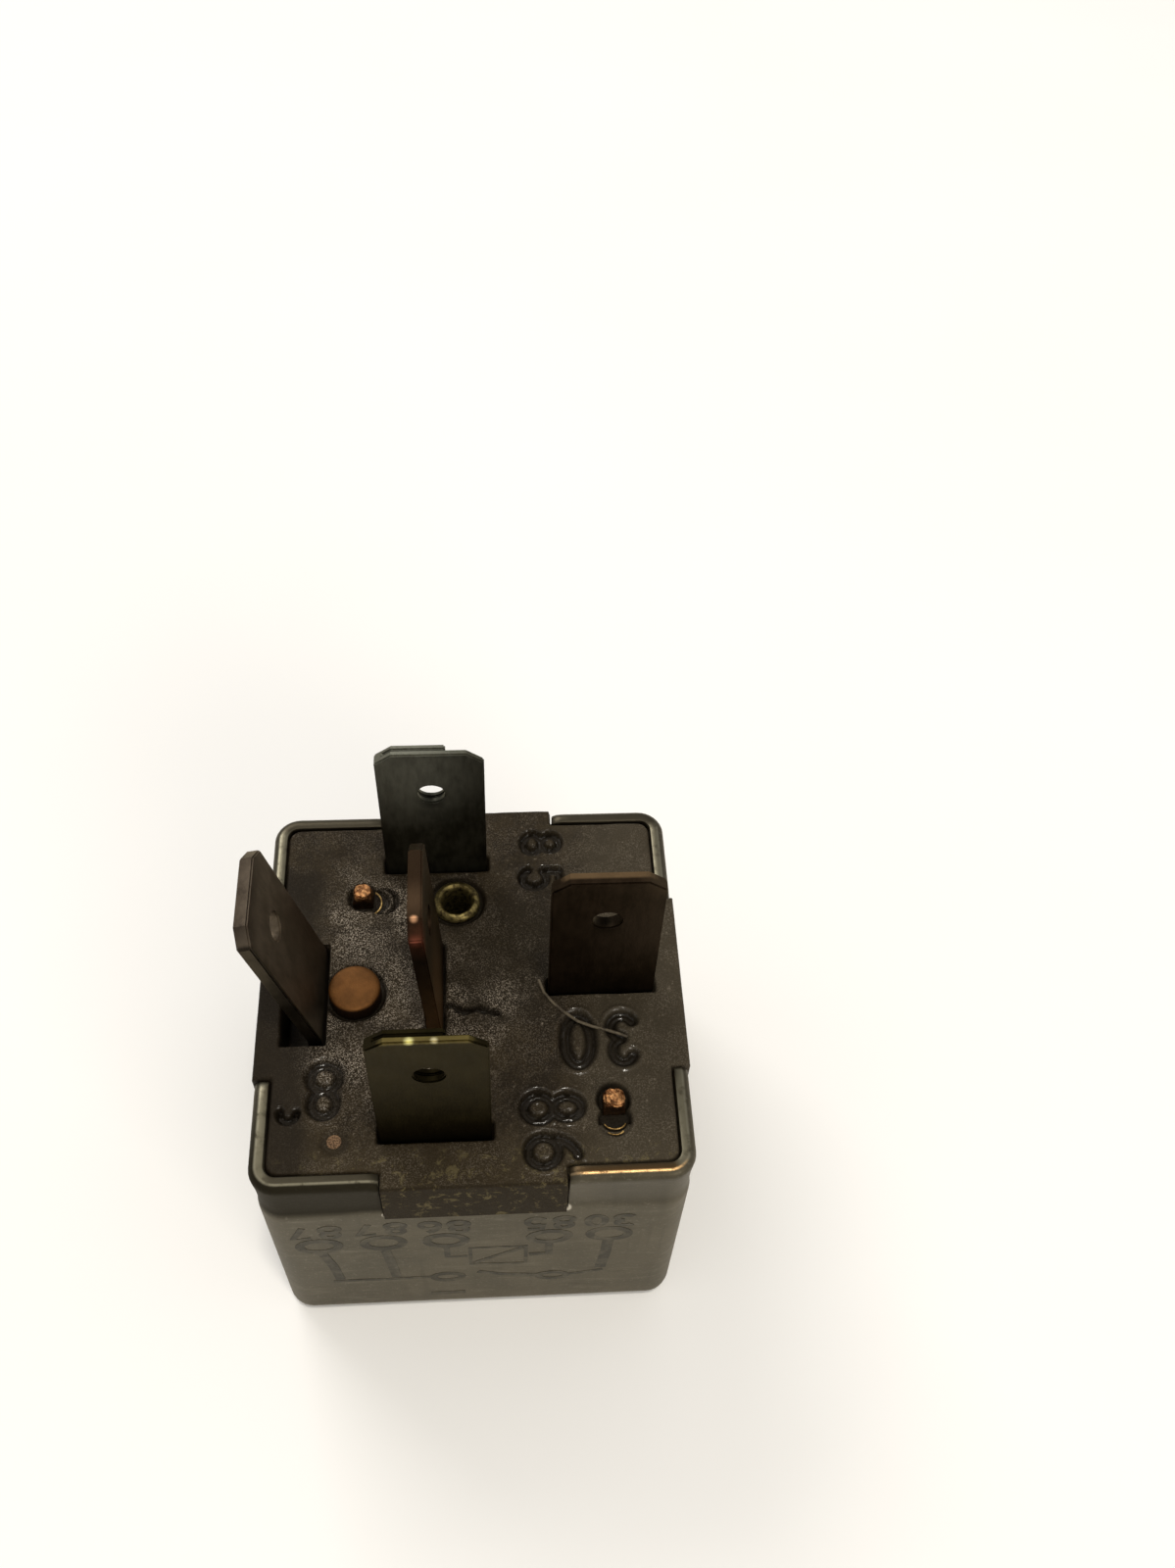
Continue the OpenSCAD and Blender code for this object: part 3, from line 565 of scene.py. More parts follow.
def reach_to_line(x, y, line):
    """Distance from each point to a line through points, in the plane."""
    nearest = np.full(x.shape, 99.0)
    for (ax, ay), (bx, by) in zip(line, line[1:]):
        across, along = bx - ax, by - ay
        share = np.clip(((x - ax) * across + (y - ay) * along) / (across ** 2 + along ** 2), 0, 1)
        nearest = np.minimum(nearest, np.hypot(x - ax - share * across, y - ay - share * along))
    return nearest


def reach_to_block(x, y, block):
    """Distance from each point to a block, below 0 inside it."""
    across, along = np.abs(x - block[0]) - block[2], np.abs(y - block[1]) - block[3]
    return np.hypot(np.maximum(across, 0), np.maximum(along, 0)) + np.minimum(np.maximum(across, along), 0)


def reach_to_digits(x, y):
    """Distance from each point to the nearest stroke's middle, in half strokes."""
    nearest = np.full(x.shape, 99.0)
    for lines, (dx, dy), turn_by, height, width, stroke in DIGITS:
        c, s = math.cos(math.radians(turn_by)), math.sin(math.radians(turn_by))
        half_w, half_h = width / 2 - stroke, height / 2 - stroke
        for line in lines:
            placed = [(dx + u * half_w * c - v * half_h * s, dy + u * half_w * s + v * half_h * c)
                      for u, v in line]
            nearest = np.minimum(nearest, reach_to_line(x, y, placed) / stroke)
    return nearest


def base_heights(x, y):
    """Height of the moulding's top over every point, how far it is sunk, and how far it faces the front."""
    reach = reach_to_digits(x, y)
    sunk = DIGIT_DEPTH * (1 - eased(reach, 0.4, 1.1)) - DIGIT_CROWN * (1 - eased(reach, 0, 0.4))
    berm = BERM * (1 - eased(np.abs(reach - 1.35), 0.05, 0.35))
    for (px, py), radius, depth in PITS:
        away = np.hypot(x - px, y - py)
        sunk = np.maximum(sunk, depth * (1 - eased(away, radius - 0.16, radius + 0.06)))
    for line in CRESCENTS:
        sunk -= CRESCENT_RISE * (1 - eased(reach_to_line(x, y, line), 0.04, 0.2))
    for block in SLOTS:
        sunk = np.maximum(sunk, SLOT_DEPTH * (1 - eased(reach_to_block(x, y, block), 0.04, 0.2)))
    sunk = np.maximum(sunk, POCKET_DEPTH * (1 - eased(reach_to_block(x, y, OUTER_SLOT), -0.04, 0.14)))
    ragged = 0.04 * np.sin(5 * x + 3 * y) + 0.03 * np.sin(11 * x - 5 * y)
    sunk = np.maximum(sunk, CRACK_DEPTH * (1 - eased(reach_to_line(x, y, CRACK) + ragged, 0.05, 0.3)))
    worn = 0.012 * (np.sin(1.3 * x + 0.7 * y) + np.sin(0.9 * y - 1.7 * x + 2) + np.sin(2.9 * x + 2.1 * y))
    in_front, in_side = np.abs(x) <= TAB_FRONT, np.abs(y) <= TAB_SIDE
    under_lip = eased(-reach_to_block(x, y, (0, 0, SEAT_HALF, SEAT_HALF)), 0.06, -0.06)
    under_lip = under_lip * ~(in_front | in_side)
    edge = np.where(in_front, TAB_REACH - np.abs(y), 99)
    edge = np.minimum(edge, np.where(in_side, TAB_REACH - np.abs(x), 99))
    edge = np.minimum(edge, np.where(in_front & (np.abs(y) > WALL_INSIDE), TAB_FRONT - np.abs(x), 99))
    edge = np.minimum(edge, np.where(in_side & (np.abs(x) > WALL_INSIDE), TAB_SIDE - np.abs(y), 99))
    into_round = np.clip(EDGE_ROUND - edge, 0, EDGE_ROUND)
    round_off = EDGE_ROUND - np.sqrt(np.clip(EDGE_ROUND ** 2 - into_round ** 2, 0, None))
    top = BASE_TOP - 0.03 + worn + berm - np.maximum(sunk, SEAT_DEPTH * under_lip) - round_off
    facing = np.gradient(top, CELL, axis=1) * (1 - eased(reach, 1.5, 2.0))
    return top, np.clip(sunk / 0.35, 0, 1), np.clip(facing, 0, 1)


def base_lines(tab_edge):
    """Grid lines across the base, closer at the tabs' ends and with one on each side of a tab."""
    steps = round(2 * BASE_HALF / CELL)
    inner = [-BASE_HALF + CELL * i for i in range(steps + 1)]
    inner = [math.copysign(tab_edge, v) if abs(abs(v) - tab_edge - 0.05) < 0.01 else v for v in inner]
    ends = [12.0, 12.12, 12.24, 12.36, 12.46, 12.54, 12.6, 12.64, TAB_REACH]
    return np.array([-v for v in reversed(ends)] + inner + ends)


def base_shape():
    """The moulding as one closed shape on a grid, with the eyelet's hole and its deeper tabs."""
    across, depth = base_lines(TAB_FRONT), base_lines(TAB_SIDE)
    x, y = np.meshgrid(across, depth, indexing="ij")
    heights, depths, facings = base_heights(x, y)
    cx, cy = (np.abs(x) - BASE_HALF + BASE_CORNER), (np.abs(y) - BASE_HALF + BASE_CORNER)
    corner = (cx > 0) & (cy > 0)
    pull = np.where(corner, np.maximum(cx, cy) / np.maximum(np.hypot(cx, cy), 1e-6), 1.0)
    x = np.where(corner, np.sign(x) * (BASE_HALF - BASE_CORNER + cx * pull), x)
    y = np.where(corner, np.sign(y) * (BASE_HALF - BASE_CORNER + cy * pull), y)
    mid_x, mid_y = (across[1:] + across[:-1]) / 2, (depth[1:] + depth[:-1]) / 2
    mx, my = np.meshgrid(mid_x, mid_y, indexing="ij")
    plate = (np.abs(mx) < BASE_HALF) & (np.abs(my) < BASE_HALF)
    tab = ~plate & ((np.abs(mx) < TAB_FRONT) | (np.abs(my) < TAB_SIDE))
    solid = (plate | tab) & (np.hypot(mx - EYELET_AT[0], my - EYELET_AT[1]) > EYELET_HOLE)
    shape = bmesh.new()
    sunk = shape.verts.layers.float.new("sunk")
    facing = shape.verts.layers.float.new("facing")
    made = {}

    def corner_at(i, j, level):
        key = (i, j, level)
        if key not in made:
            up = (heights[i, j], BASE_UNDER, TAB_UNDER)[level]
            made[key] = shape.verts.new((x[i, j], y[i, j], up))
            made[key][sunk] = depths[i, j]
            made[key][facing] = facings[i, j]
        return made[key]

    def wall(a, b, high, low):
        shape.faces.new((corner_at(*a, high), corner_at(*b, high), corner_at(*b, low), corner_at(*a, low)))

    wide, deep = solid.shape
    for i in range(wide):
        for j in range(deep):
            if not solid[i, j]:
                continue
            around = [(i, j), (i + 1, j), (i + 1, j + 1), (i, j + 1)]
            shape.faces.new([corner_at(*at, 0) for at in around])
            if tab[i, j]:
                shape.faces.new([corner_at(*at, 2) for at in reversed(around)])
            for k, (di, dj) in enumerate(((0, -1), (1, 0), (0, 1), (-1, 0))):
                a, b = around[k], around[(k + 1) % 4]
                ni, nj = i + di, j + dj
                beside = 0 <= ni < wide and 0 <= nj < deep and solid[ni, nj]
                if not beside:
                    wall(a, b, 0, 1)
                if tab[i, j] and not (beside and tab[ni, nj]):
                    wall(a, b, 1, 2)
    rim = [e for e in shape.edges if len(e.link_faces) == 1]
    bmesh.ops.triangle_fill(shape, edges=rim, use_beauty=False)
    return shape


def base_finish():
    """Brown-black moulding with grey dust, an oily front edge, dirt, painted shade and shine where it is
    sunk, and a painted shadow of the outer blade on its left.
    """
    material, place = open_finish("phenolic")
    across, depth = place.axis(0), place.axis(1)
    sunk = place.mark("sunk")
    speck = place.grain(13.0, 2.0, 0.75)
    grit = place.grain(3.6, 4.0, 0.7, seed=5.0)
    cloud = place.grain(0.35, 3.0, 0.6, seed=1.0)
    patch = place.grain(0.45, 2.0, 0.5, seed=8.0).above(0.38, 0.6)
    broken = place.spot((0.6, -2.0, BASE_TOP), 3.4)
    settled = place.spot((-5.2, -3.0, BASE_TOP), 7.8, 0.7).either(place.spot((-6.0, 4.5, BASE_TOP), 5.5, 0.8))
    settled = settled.either(broken * 0.5)
    handled = place.spot((2.0, 2.0, BASE_TOP), 7.0, 0.8)
    front = (depth + 3 * cloud).above(-7.0, -10.0)
    tab_end = depth.above(-12.4, -12.6)
    # A painted shadow of the outer blade 87 darkens the base's left strip.
    outer_blade_shadow = (across + cloud).above(-8.0, -9.6) * (depth + cloud).above(9.4, 8.4)
    scratched = place.grain(1.3, 4.0, 0.8, warp=0.5, seed=3.0).above(0.54, 0.66)
    scratched = scratched * (depth + cloud).above(-9.5, -10.5)
    dust = speck.above(0.5, 0.62) * (0.3 + 0.7 * patch) * (0.16 + 0.86 * settled)
    dust = dust + grit.above(0.6, 0.75) * 0.25
    colour = mixed((0.6 * cloud + 0.4 * grit).above(0.38, 0.62), paint(24, 18, 10), paint(43, 35, 22))
    colour = mixed(front * 0.6, colour, paint(52, 44, 30))
    colour = mixed((across + 3 * cloud).above(6.0, 10.0) * 0.7, colour, paint(60, 54, 43))
    colour = mixed(handled * 0.7, colour, paint(26, 21, 12))
    colour = mixed(dust * 0.95, colour, paint(164, 152, 136))
    colour = mixed(tab_end * 0.8, colour, paint(28, 22, 12))
    colour = mixed(scratched * 0.5, colour, paint(104, 94, 64))
    # The outer blade's painted shadow.
    colour = mixed(outer_blade_shadow * 0.8, colour, paint(22, 17, 11))
    # Grooves, pits, slots and the crack are darkened by dirt and painted shade.
    colour = mixed(sunk * 0.85, colour, paint(12, 8, 4))
    roughness = 0.45 + 0.2 * grit + 0.15 * dust + 0.25 * tab_end
    shine = place.mark("facing").above(0.1, 0.6) * (0.25 + speck.above(0.5, 0.62)) + 0.05 * sunk
    return close_finish(material, place, colour, roughness, 0.0, 0.55 * speck + 0.45 * grit,
                        relief=0.04, gloss=0.12, coat=shine, tint=(1.0, 0.88, 0.7))


base = new_piece("base_moulding", base_shape(), base_finish(), sharp=75)
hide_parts("base_plate")


# ---- Blades ----
# Five tabs cut from 0.8 mm strip. Terminals 85 and 86 are folded double, and
# the two terminals 87 stand across the row. All are tarnished nearly black.

BLADE_EDGE = 0.09
BLADES = [  # node, slot, dark, light and tip colours, the tip's height and depth range, and marks
    ("terminal_30", "blade_bronze", paint(30, 22, 14), paint(46, 36, 26), paint(104, 84, 60),
     32.6, (-0.5, -0.3),
     # 30's near-black mark in its hole is painted shade.
     [((9.6, -0.8, 27.0), 5.0, paint(54, 44, 34)), ((7.7, -0.3, 28.4), 1.3, paint(6, 5, 3)),
      ((10.9, -0.4, 32.9), 1.8, paint(66, 54, 40))]),
    ("terminal_85", "blade_grey", paint(42, 40, 31), paint(68, 66, 56), paint(84, 82, 72),
     32.75, (8.3, 8.25),
     # 85's near-black mark on its hole is painted shade.
     [((-3.6, 8.17, 31.0), 6.5, paint(124, 124, 112)), ((-2.12, 8.5, 28.4), 1.1, paint(14, 13, 10))]),
    ("terminal_86", "blade_olive", paint(22, 18, 7), paint(34, 29, 14), paint(94, 83, 47),
     32.72, (-9.38, -9.46),
     # 86's two pale marks on its tip are painted glints.
     [((-2.95, -9.7, 32.88), 0.36, paint(232, 226, 156)), ((-1.7, -9.7, 32.88), 0.28, paint(204, 194, 152))]),
    # The outer 87's dark tip colour is painted shade on its front edge.
    ("terminal_87_outer", "blade_brown_grey", paint(94, 84, 70), paint(120, 108, 93), paint(30, 26, 21),
     20.0, (-3.3, -3.5),
     [((-9.9, 3.4, 24.0), 6.0, paint(62, 46, 37))]
     + [((-12.3, depth, 32.7), 2.4, paint(50, 43, 37)) for depth in (-2.6, -0.4, 1.8)]),
    ("terminal_87_centre", "blade_brown", paint(27, 20, 13), paint(46, 34, 24), paint(36, 26, 17),
     32.6, (9, 8),
     [((-2.2, -3.5, 23.5), 6.0, paint(92, 68, 44)), ((-2.15, -3.5, 31.7), 1.9, paint(72, 42, 29)),
      # The pink mark and the small pale mark after it are painted glints.
      ((-2.75, -1.4, 32.9), 1.6, paint(60, 46, 33)), ((-2.75, -3.5, 31.9), 0.6, paint(122, 68, 52)),
      ((-2.8, -2.6, 32.85), 0.3, paint(220, 166, 124))]),
]


def plain_shape(node):
    """A CAD node in millimetres, with its loose triangles merged into flat faces."""
    shape = bmesh.new()
    shape.from_mesh(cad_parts[node].data)
    bmesh.ops.scale(shape, vec=(1 / MM, 1 / MM, 1 / MM), verts=shape.verts)
    bmesh.ops.remove_doubles(shape, verts=shape.verts, dist=0.0005)
    bmesh.ops.dissolve_limit(shape, angle_limit=math.radians(0.5), verts=shape.verts, edges=shape.edges)
    return shape


def eased_shape(node, width):
    """A CAD node with its sharp edges rounded as tooling and wear leave them."""
    shape = plain_shape(node)
    edges = [e for e in shape.edges if e.calc_face_angle(0) > math.radians(40)]
    bmesh.ops.bevel(shape, geom=edges, offset=width, segments=2, affect="EDGES", clamp_overlap=False)
    return shape


def blade_finish(name, dark, light, tip, tip_from, front_to_back, marks_and_painted_light):
    """Tarnish streaked along the blade and darker at its foot with painted shade, a tip band that is partly
    wear and partly painted light, and marks of tone, painted glints and painted shade at places on it.
    """
    material, place = open_finish(name)
    depth, up = place.axis(1), place.axis(2)
    cloud = place.grain(0.5, 3.0, 0.6, seed=tip_from)
    fine = place.grain(4.0, 3.0, 0.65, stretch=(1.0, 1.0, 0.25), seed=2.0)
    colour = mixed((0.6 * cloud + 0.4 * fine).above(0.35, 0.65), dark, light)
    # Painted shade darkens the blade towards its foot in the base.
    colour = mixed((up + 3.0 * cloud).above(25.5, 21.5) * 0.45, colour, paint(16, 13, 9))
    # The tip band is partly wear and partly painted light: a painted highlight on the lit tips of 30, 85 and
    # 86, and painted shade on the outer 87's front edge. On the centre 87 it is a change of tone.
    tip_wear_and_painted_light = (up + 0.3 * fine).above(tip_from, tip_from + 0.3) * depth.above(*front_to_back)
    colour = mixed(tip_wear_and_painted_light * (0.45 + 0.9 * cloud), colour, tip)
    # The spots hold marks of tone, painted glints and painted shade.
    for centre, radius, shade in marks_and_painted_light:
        colour = mixed(place.spot(centre, radius, 1.0) * (0.5 + 0.8 * fine), colour, shade)
    roughness = 0.42 + 0.2 * fine - 0.1 * tip_wear_and_painted_light
    return close_finish(material, place, colour, roughness, 0.97, 0.5 * fine + 0.5 * cloud, relief=0.015,
                        gloss=0.2, tint=(1.0, 0.93, 0.78))


for node, slot_name, *shades in BLADES:
    name = node.replace("terminal", "blade")
    blade = new_piece(name, eased_shape(node, BLADE_EDGE), blade_finish(slot_name, *shades))
    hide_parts(node)


# ---- Eyelet ----
# A brass tube rolled over in the base and under the yoke, which it holds together.
# Its rolled edge is scuffed in patches.

def metal_finish(name, dark, light, roughness=0.35, metallic=0.9, scale=2.0):
    """A metal or plastic in two shades, with a fine grain."""
    material, place = open_finish(name)
    cloud = place.grain(scale, 3.0, 0.6, seed=6.0)
    fine = place.grain(6 * scale, 2.0, 0.6)
    colour = mixed(cloud.above(0.3, 0.7), dark, light)
    return close_finish(material, place, colour, roughness + 0.15 * fine, metallic, fine, relief=0.01)


def turned_shape(axis_at, profile, steps=48):
    """A ring or a pin turned from a closed outline of radius and height; points on the axis become poles."""
    shape = bmesh.new()
    rings = []
    for radius, up in profile:
        angles = [math.tau * i / steps for i in range(steps if radius else 1)]
        rings.append([shape.verts.new((axis_at[0] + radius * math.cos(a),
                                       axis_at[1] + radius * math.sin(a), up)) for a in angles])
    for low, high in zip(rings, rings[1:] + rings[:1]):
        if len(low) == 1 and len(high) == 1:
            continue
        for i in range(steps):
            j = (i + 1) % steps
            if len(low) == 1:
                shape.faces.new((low[0], high[j], high[i]))
            elif len(high) == 1:
                shape.faces.new((low[i], low[j], high[0]))
            else:
                shape.faces.new((low[i], low[j], high[j], high[i]))
    return shape


eyelet_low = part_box("eyelet")[0].z / MM
eyelet_outline = [
    (0.925, eyelet_low), (1.4, eyelet_low), (1.45, eyelet_low + 0.1), (1.4, eyelet_low + 0.36),
    (1.145, eyelet_low + 0.4), (1.145, 20.6), (1.38, 20.6), (1.45, 20.7), (1.44, 20.92), (1.36, 21.08),
    (1.24, 21.17), (1.12, 21.18), (1.02, 21.1), (0.95, 20.92), (0.925, 20.7)]
eyelet = new_piece("rolled_eyelet", turned_shape(EYELET_AT, eyelet_outline),
                   metal_finish("eyelet_brass", paint(56, 47, 27), paint(138, 124, 78), scale=3.5))
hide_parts("eyelet")


# ---- Rivet and staked pins ----
# The copper rivet clamps the strip under terminals 87. Two pins stand sheared off square
# and ragged in their pockets, in thin brass collars, and a third is flush with the base.

def rivet_finish():
    """Copper burnished on its flat top by the riveting tool, with painted shade round its side."""
    material, place = open_finish("rivet_copper")
    cloud = place.grain(1.2, 3.0, 0.6, seed=6.0)
    fine = place.grain(9.0, 2.0, 0.6)
    top = (place.axis(2) + 0.08 * cloud).above(21.48, 21.62)
    colour = mixed(cloud.above(0.3, 0.7), paint(90, 57, 22), paint(108, 69, 30))
    # Painted shade darkens the rivet's side below its flat top.
    colour = mixed(top, paint(48, 30, 16), colour)
    colour = mixed(fine.above(0.6, 0.75) * 0.4, colour, paint(84, 58, 32))
    return close_finish(material, place, colour, 0.45 + 0.15 * fine, 0.75, fine, relief=0.02)


rivet_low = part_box("contact_rivet")[0].z / MM
rivet_outline = [
    (0, rivet_low), (1.45, rivet_low), (1.55, rivet_low + 0.1), (1.55, rivet_low + 0.4),
    (0.8, rivet_low + 0.4), (0.8, 20.5), (1.5, 20.5), (1.55, 20.56), (1.55, 21.4), (1.54, 21.5),
    (1.5, 21.57), (1.42, 21.61), (1.2, 21.64), (0.7, 21.66), (0, 21.67)]
rivet = new_piece("copper_rivet", turned_shape(RIVET_AT, rivet_outline), rivet_finish())
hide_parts("contact_rivet")


TORN_SEED = 4
TORN_LENGTH = 0.6
TORN_EDGE = 0.14
PINS = [("stake_30", 0.16, 0.62), ("stake_85", 0.14, 0.52), ("stake_86", 0.0, 2.0)]  # node, raggedness, width


def torn_pin(node, ragged, widest):
    """A pin whose sheared end is left rough, with its corners pressed in to a widest radius."""
    noise.seed_set(TORN_SEED)
    shape = plain_shape(node)
    top = max(vert.co.z for vert in shape.verts)
    low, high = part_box(node)
    middle = (low + high).xy / 2 / MM
    rim = [e for e in shape.edges if min(v.co.z for v in e.verts) > top - 0.01]
    bmesh.ops.bevel(shape, geom=rim, offset=TORN_EDGE, segments=2, affect="EDGES", clamp_overlap=True)
    bmesh.ops.triangulate(shape, faces=shape.faces)
    upper = [e for e in shape.edges if max(v.co.z for v in e.verts) > top - 0.2 and e.calc_length() > 0.3]
    bmesh.ops.subdivide_edges(shape, edges=upper, cuts=5, use_grid_fill=True)
    bmesh.ops.triangulate(shape, faces=shape.faces)
    for vert in shape.verts:
        share = min(1.0, max(0.0, (vert.co.z - top + TORN_LENGTH) / 0.5))
        push = noise.noise_vector(vert.co * 2.1) + 0.6 * noise.noise_vector(vert.co * 6.3)
        push.z -= 0.4
        vert.co += ragged * share * push
        radius = math.hypot(vert.co.x - middle.x, vert.co.y - middle.y)
        squeeze = 1 - share * (1 - min(1.0, widest / max(radius, 0.01)))
        vert.co.xy = middle + (vert.co.xy - middle) * squeeze
    return shape


def torn_finish():
    """Copper torn bright on top with painted glints in it, and painted shade down its sides."""
    material, place = open_finish("staked_copper")
    cloud = place.grain(2.2, 3.0, 0.6, seed=6.0)
    fine = place.grain(12.0, 2.0, 0.7)
    colour = mixed(cloud.above(0.4, 0.65), paint(98, 60, 32), paint(194, 140, 90))
    # Painted glints in a fine grain of pale copper.
    colour = mixed(fine.above(0.55, 0.7) * 0.7, colour, paint(240, 190, 128))
    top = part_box("stake_30")[1].z / MM
    # Painted shade darkens each pin below its top, down into its pocket.
    sides = (place.axis(2) + 0.4 * cloud).above(top + 0.08, top - 0.25)
    colour = mixed(sides * 0.9, colour, paint(36, 21, 11))
    dusty = mixed(fine.above(0.35, 0.65), paint(66, 49, 35), paint(116, 91, 67))
    colour = mixed(place.spot((*FLUSH_PIN_AT, BASE_TOP), 1.4), colour, dusty)
    return close_finish(material, place, colour, 0.3 + 0.2 * fine, 0.85, fine, relief=0.03)


stake_copper = torn_finish()
for node, ragged, widest in PINS:
    pin = new_piece(node.replace("stake", "pin"), torn_pin(node, ragged, widest), stake_copper)
    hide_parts(node)


def node_tree(name, inputs):
    """An empty Geometry Nodes tree with named inputs, its entry and its exit."""
    tree = bpy.data.node_groups.new(name, "GeometryNodeTree")
    for socket_name, kind in inputs:
        tree.interface.new_socket(socket_name, in_out="INPUT", socket_type="NodeSocket" + kind)
    tree.interface.new_socket("Piece", in_out="OUTPUT", socket_type="NodeSocketGeometry")
    return tree, tree.nodes.new("NodeGroupInput"), tree.nodes.new("NodeGroupOutput")


def finish_tree(tree, entry, exit_node, made):
    """Ends a tree in Realize Instances and Set Material."""
    realize = tree.nodes.new("GeometryNodeRealizeInstances")
    painted = tree.nodes.new("GeometryNodeSetMaterial")
    tree.links.new(made, realize.inputs[0])
    tree.links.new(realize.outputs[0], painted.inputs["Geometry"])
    tree.links.new(entry.outputs["Finish"], painted.inputs["Material"])
    tree.links.new(painted.outputs[0], exit_node.inputs[0])


def bar_tree():
    """A round bar along every path."""
    tree, entry, exit_node = node_tree("bar_along_path", [
        ("Path", "Geometry"), ("Bar radius", "Float"), ("Bar sides", "Int"), ("Finish", "Material")])
    section = tree.nodes.new("GeometryNodeCurvePrimitiveCircle")
    sweep = tree.nodes.new("GeometryNodeCurveToMesh")
    sweep.inputs["Fill Caps"].default_value = True
    tree.links.new(entry.outputs["Bar radius"], section.inputs["Radius"])
    tree.links.new(entry.outputs["Bar sides"], section.inputs["Resolution"])
    tree.links.new(entry.outputs["Path"], sweep.inputs["Curve"])
    tree.links.new(section.outputs["Curve"], sweep.inputs["Profile Curve"])
    finish_tree(tree, entry, exit_node, sweep.outputs["Mesh"])
    return tree


def grown_piece(name, source, tree, values, material):
    """Runs a tree on an object, and keeps the result as a plain mesh that rides on the housing."""
    bpy.context.collection.objects.link(source)
    grower = source.modifiers.new("grow", "NODES")
    grower.node_group = tree
    values = {**values, "Finish": material}
    for socket in tree.interface.items_tree:
        if socket.in_out == "INPUT" and socket.name in values:
            grower[socket.identifier] = values[socket.name]
    evaluated = source.evaluated_get(bpy.context.evaluated_depsgraph_get())
    mesh = bpy.data.meshes.new_from_object(evaluated)
    source.modifiers.remove(grower)
    bpy.data.objects.remove(source)
    for face in mesh.polygons:
        face.use_smooth = True
    piece = bpy.data.objects.new(name, mesh)
    bpy.context.collection.objects.link(piece)
    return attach(piece, "housing")


def paths_object(name, paths):
    """A curve object through points in millimetres, one line for each path."""
    curve = bpy.data.curves.new(name, "CURVE")
    curve.dimensions = "3D"
    for path in paths:
        line = curve.splines.new("POLY")
        line.points.add(len(path) - 1)
        for point, place in zip(line.points, path):
            point.co = (*(v * MM for v in place), 1)
    return bpy.data.objects.new(name, curve)


COLLAR_UP = 20.8
COLLAR_RADIUS = 0.06
COLLARS = [((-6.3, 5.95), (0.74, 0.85), -70, 62), ((8, -9.0), (0.66, 0.52), -155, -25),
           ((8, -9.35), (0.6, 0.5), -140, -40)]  # middle, radii, first and last angle
collar_paths = [[(x, y, COLLAR_UP) for x, y in arc(*collar, 20)] for collar in COLLARS]
round_bar = bar_tree()
collars = grown_piece("pin_collars", paths_object("collar_paths", collar_paths), round_bar,
                      {"Bar radius": COLLAR_RADIUS * MM, "Bar sides": 10},
                      metal_finish("collar_brass", paint(96, 74, 40), paint(206, 172, 110), 0.28))


# ---- Fibre ----
# A stiff grey fibre, picked up in use and bonded to the base by grime. It lies
# across the 0 of terminal 30 and into its 3.

FIBRE_RADIUS = 0.09
FIBRE = [(4.0, 0.1, 20.98), (4.3, -0.8, 21.0), (4.8, -1.5, 21.02), (5.4, -2.1, 21.02), (6.2, -2.75, 21.0),
         (7.0, -3.1, 20.98), (7.8, -3.35, 20.97), (8.5, -3.6, 20.96), (9.1, -3.85, 20.94)]
fibre = grown_piece("bonded_fibre", paths_object("fibre_path", [FIBRE]), round_bar,
                    {"Bar radius": FIBRE_RADIUS * MM, "Bar sides": 10},
                    metal_finish("fibre", paint(50, 42, 30), paint(92, 82, 64), 0.6, 0.0))


# ---- Inside the can ----
# Copper strips, soft-iron magnet, moulded bobbin and the hinged armature, as bought in
# and riveted together. The closed can hides them all.

INNER = {
    "strip_copper": (["strap_30", "strap_85", "strap_86", "contact_bracket", "backstop"],
                     paint(158, 112, 78), paint(182, 132, 94), 0.35, 0.9),
    "contact_silver": (["fixed_contact", "moving_contact"],
                       paint(176, 174, 168), paint(216, 214, 208), 0.3, 1.0),
    "soft_iron": (["yoke", "core", "armature"], paint(150, 150, 147), paint(168, 168, 164), 0.4, 0.9),
    "bobbin_nylon": (["bobbin"], paint(186, 176, 150), paint(206, 196, 172), 0.5, 0.0),
    "coil_wire": (["coil_leads"], paint(132, 60, 26), paint(170, 84, 40), 0.3, 0.7),
    "coil_tape": (["coil_tape"], paint(194, 168, 96), paint(206, 182, 108), 0.45, 0.0),
    "spring_bronze": (["hinge_spring", "contact_arm"], paint(168, 128, 70), paint(196, 154, 92), 0.3, 0.95),
    "rivet_steel": (["hinge_spring_rivets", "armature_rivets"], paint(150, 150, 150), paint(184, 184, 184),
                    0.35, 0.95),
}
for slot_name, (nodes, dark, light, roughness, metallic) in INNER.items():
    material = metal_finish(slot_name, dark, light, roughness, metallic)
    for node in nodes:
        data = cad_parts[node].data
        data.materials.clear()
        data.materials.append(material)


# ---- Coil winding ----
# Enamelled copper wire in close turns over the bobbin's tube. Only its last layer
# is drawn as separate turns; the layers below it are one sleeve.

WIRE = 0.2
TUBE_RADIUS = 3.8
coil_low, coil_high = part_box("coil_winding")
coil_at = ((coil_low.x + coil_high.x) / 2 / MM, (coil_low.y + coil_high.y) / 2 / MM)
coil_radius = (coil_high.x - coil_low.x) / 2 / MM


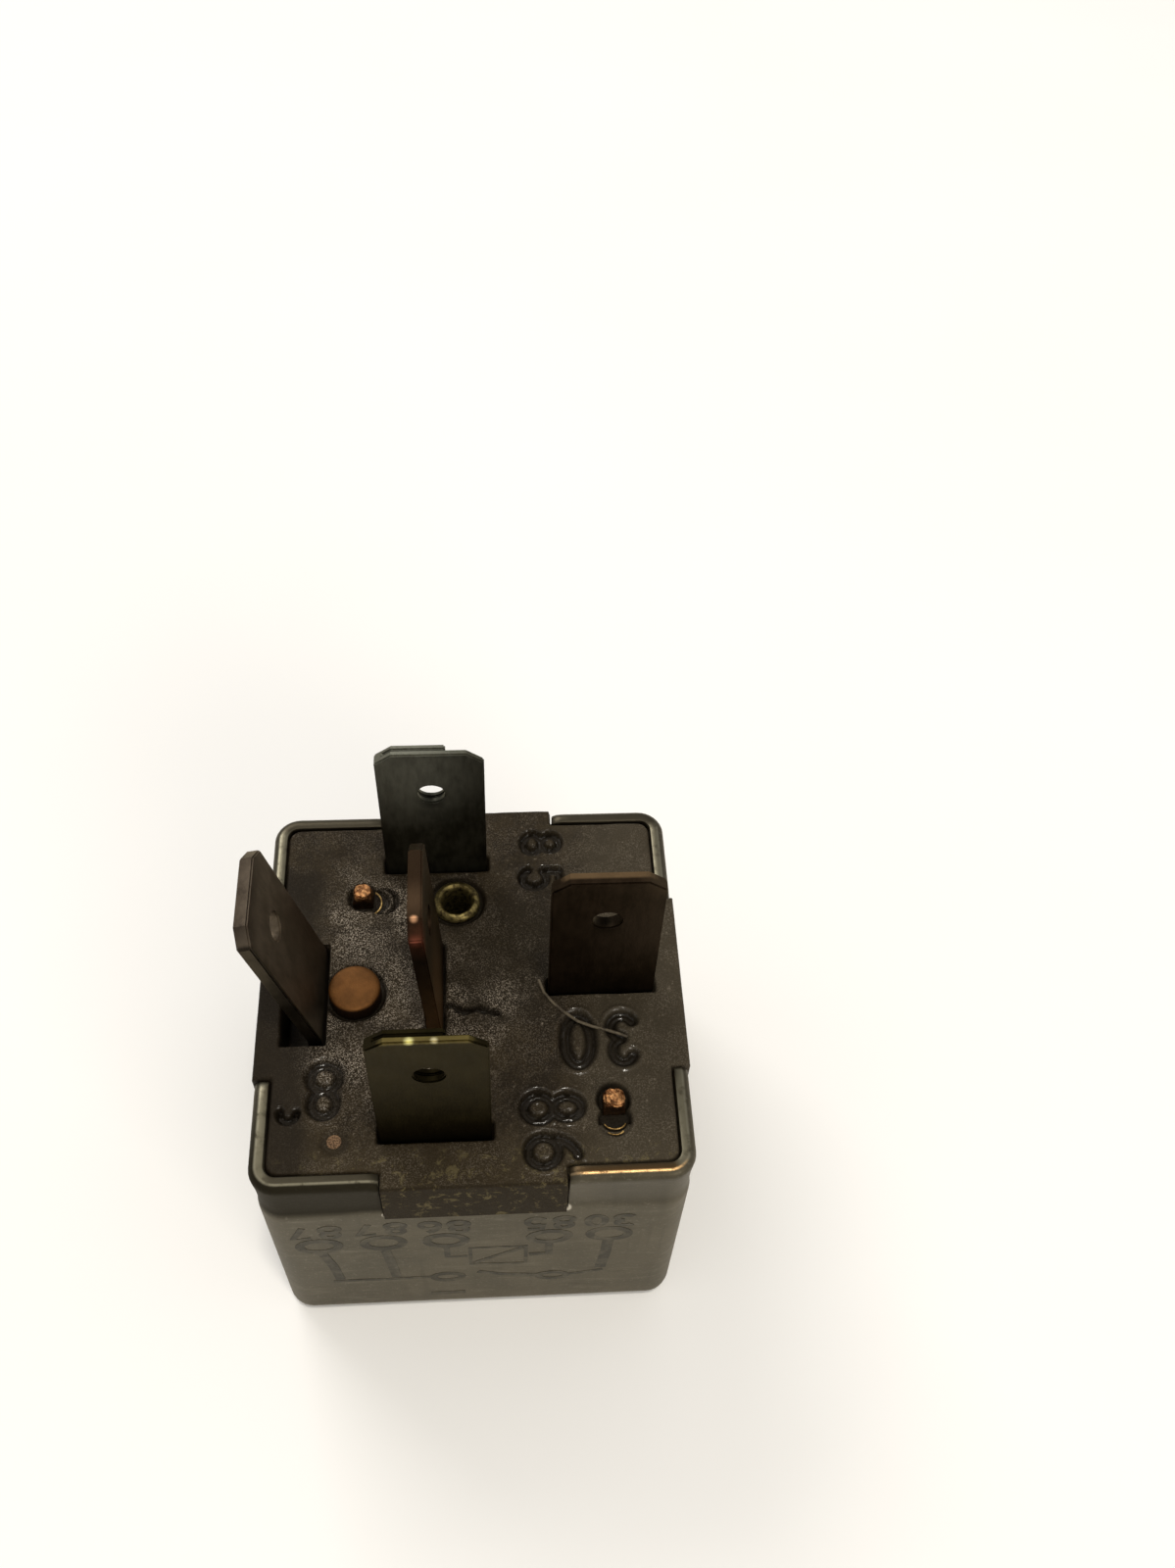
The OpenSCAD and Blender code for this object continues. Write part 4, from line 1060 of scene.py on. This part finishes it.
def coil_tree():
    """One wire wound in a helix, with its axis upright."""
    tree, entry, exit_node = node_tree("wound_wire", [
        ("Path", "Geometry"), ("Turns", "Float"), ("Turn radius", "Float"), ("Length", "Float"),
        ("Wire radius", "Float"), ("Foot", "Vector"), ("Finish", "Material")])
    helix = tree.nodes.new("GeometryNodeCurveSpiral")
    helix.inputs["Resolution"].default_value = 32
    section = tree.nodes.new("GeometryNodeCurvePrimitiveCircle")
    section.inputs["Resolution"].default_value = 6
    sweep = tree.nodes.new("GeometryNodeCurveToMesh")
    sweep.inputs["Fill Caps"].default_value = True
    seat = tree.nodes.new("GeometryNodeTransform")
    tree.links.new(entry.outputs["Turns"], helix.inputs["Rotations"])
    tree.links.new(entry.outputs["Turn radius"], helix.inputs["Start Radius"])
    tree.links.new(entry.outputs["Turn radius"], helix.inputs["End Radius"])
    tree.links.new(entry.outputs["Length"], helix.inputs["Height"])
    tree.links.new(entry.outputs["Wire radius"], section.inputs["Radius"])
    tree.links.new(helix.outputs["Curve"], sweep.inputs["Curve"])
    tree.links.new(section.outputs["Curve"], sweep.inputs["Profile Curve"])
    tree.links.new(sweep.outputs["Mesh"], seat.inputs["Geometry"])
    tree.links.new(entry.outputs["Foot"], seat.inputs["Translation"])
    finish_tree(tree, entry, exit_node, seat.outputs["Geometry"])
    return tree


coil_length = coil_high.z - coil_low.z - WIRE * MM
wire_finish = metal_finish("enamelled_wire", paint(132, 60, 26), paint(170, 84, 40), 0.3, 0.7)
turns = grown_piece("coil_turns", paths_object("coil_start", [[(0, 0, 0), (0, 0, 1)]]), coil_tree(), {
    "Turns": coil_length / (WIRE * MM), "Turn radius": (coil_radius - WIRE / 2) * MM, "Length": coil_length,
    "Wire radius": WIRE / 2 * MM, "Foot": (coil_at[0] * MM, coil_at[1] * MM, coil_low.z + WIRE / 2 * MM)},
    wire_finish)
sleeve_outline = [(TUBE_RADIUS, coil_low.z / MM), (coil_radius - WIRE, coil_low.z / MM),
                  (coil_radius - WIRE, coil_high.z / MM), (TUBE_RADIUS, coil_high.z / MM)]
sleeve = new_piece("coil_sleeve", turned_shape(coil_at, sleeve_outline), wire_finish)
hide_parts("coil_winding")
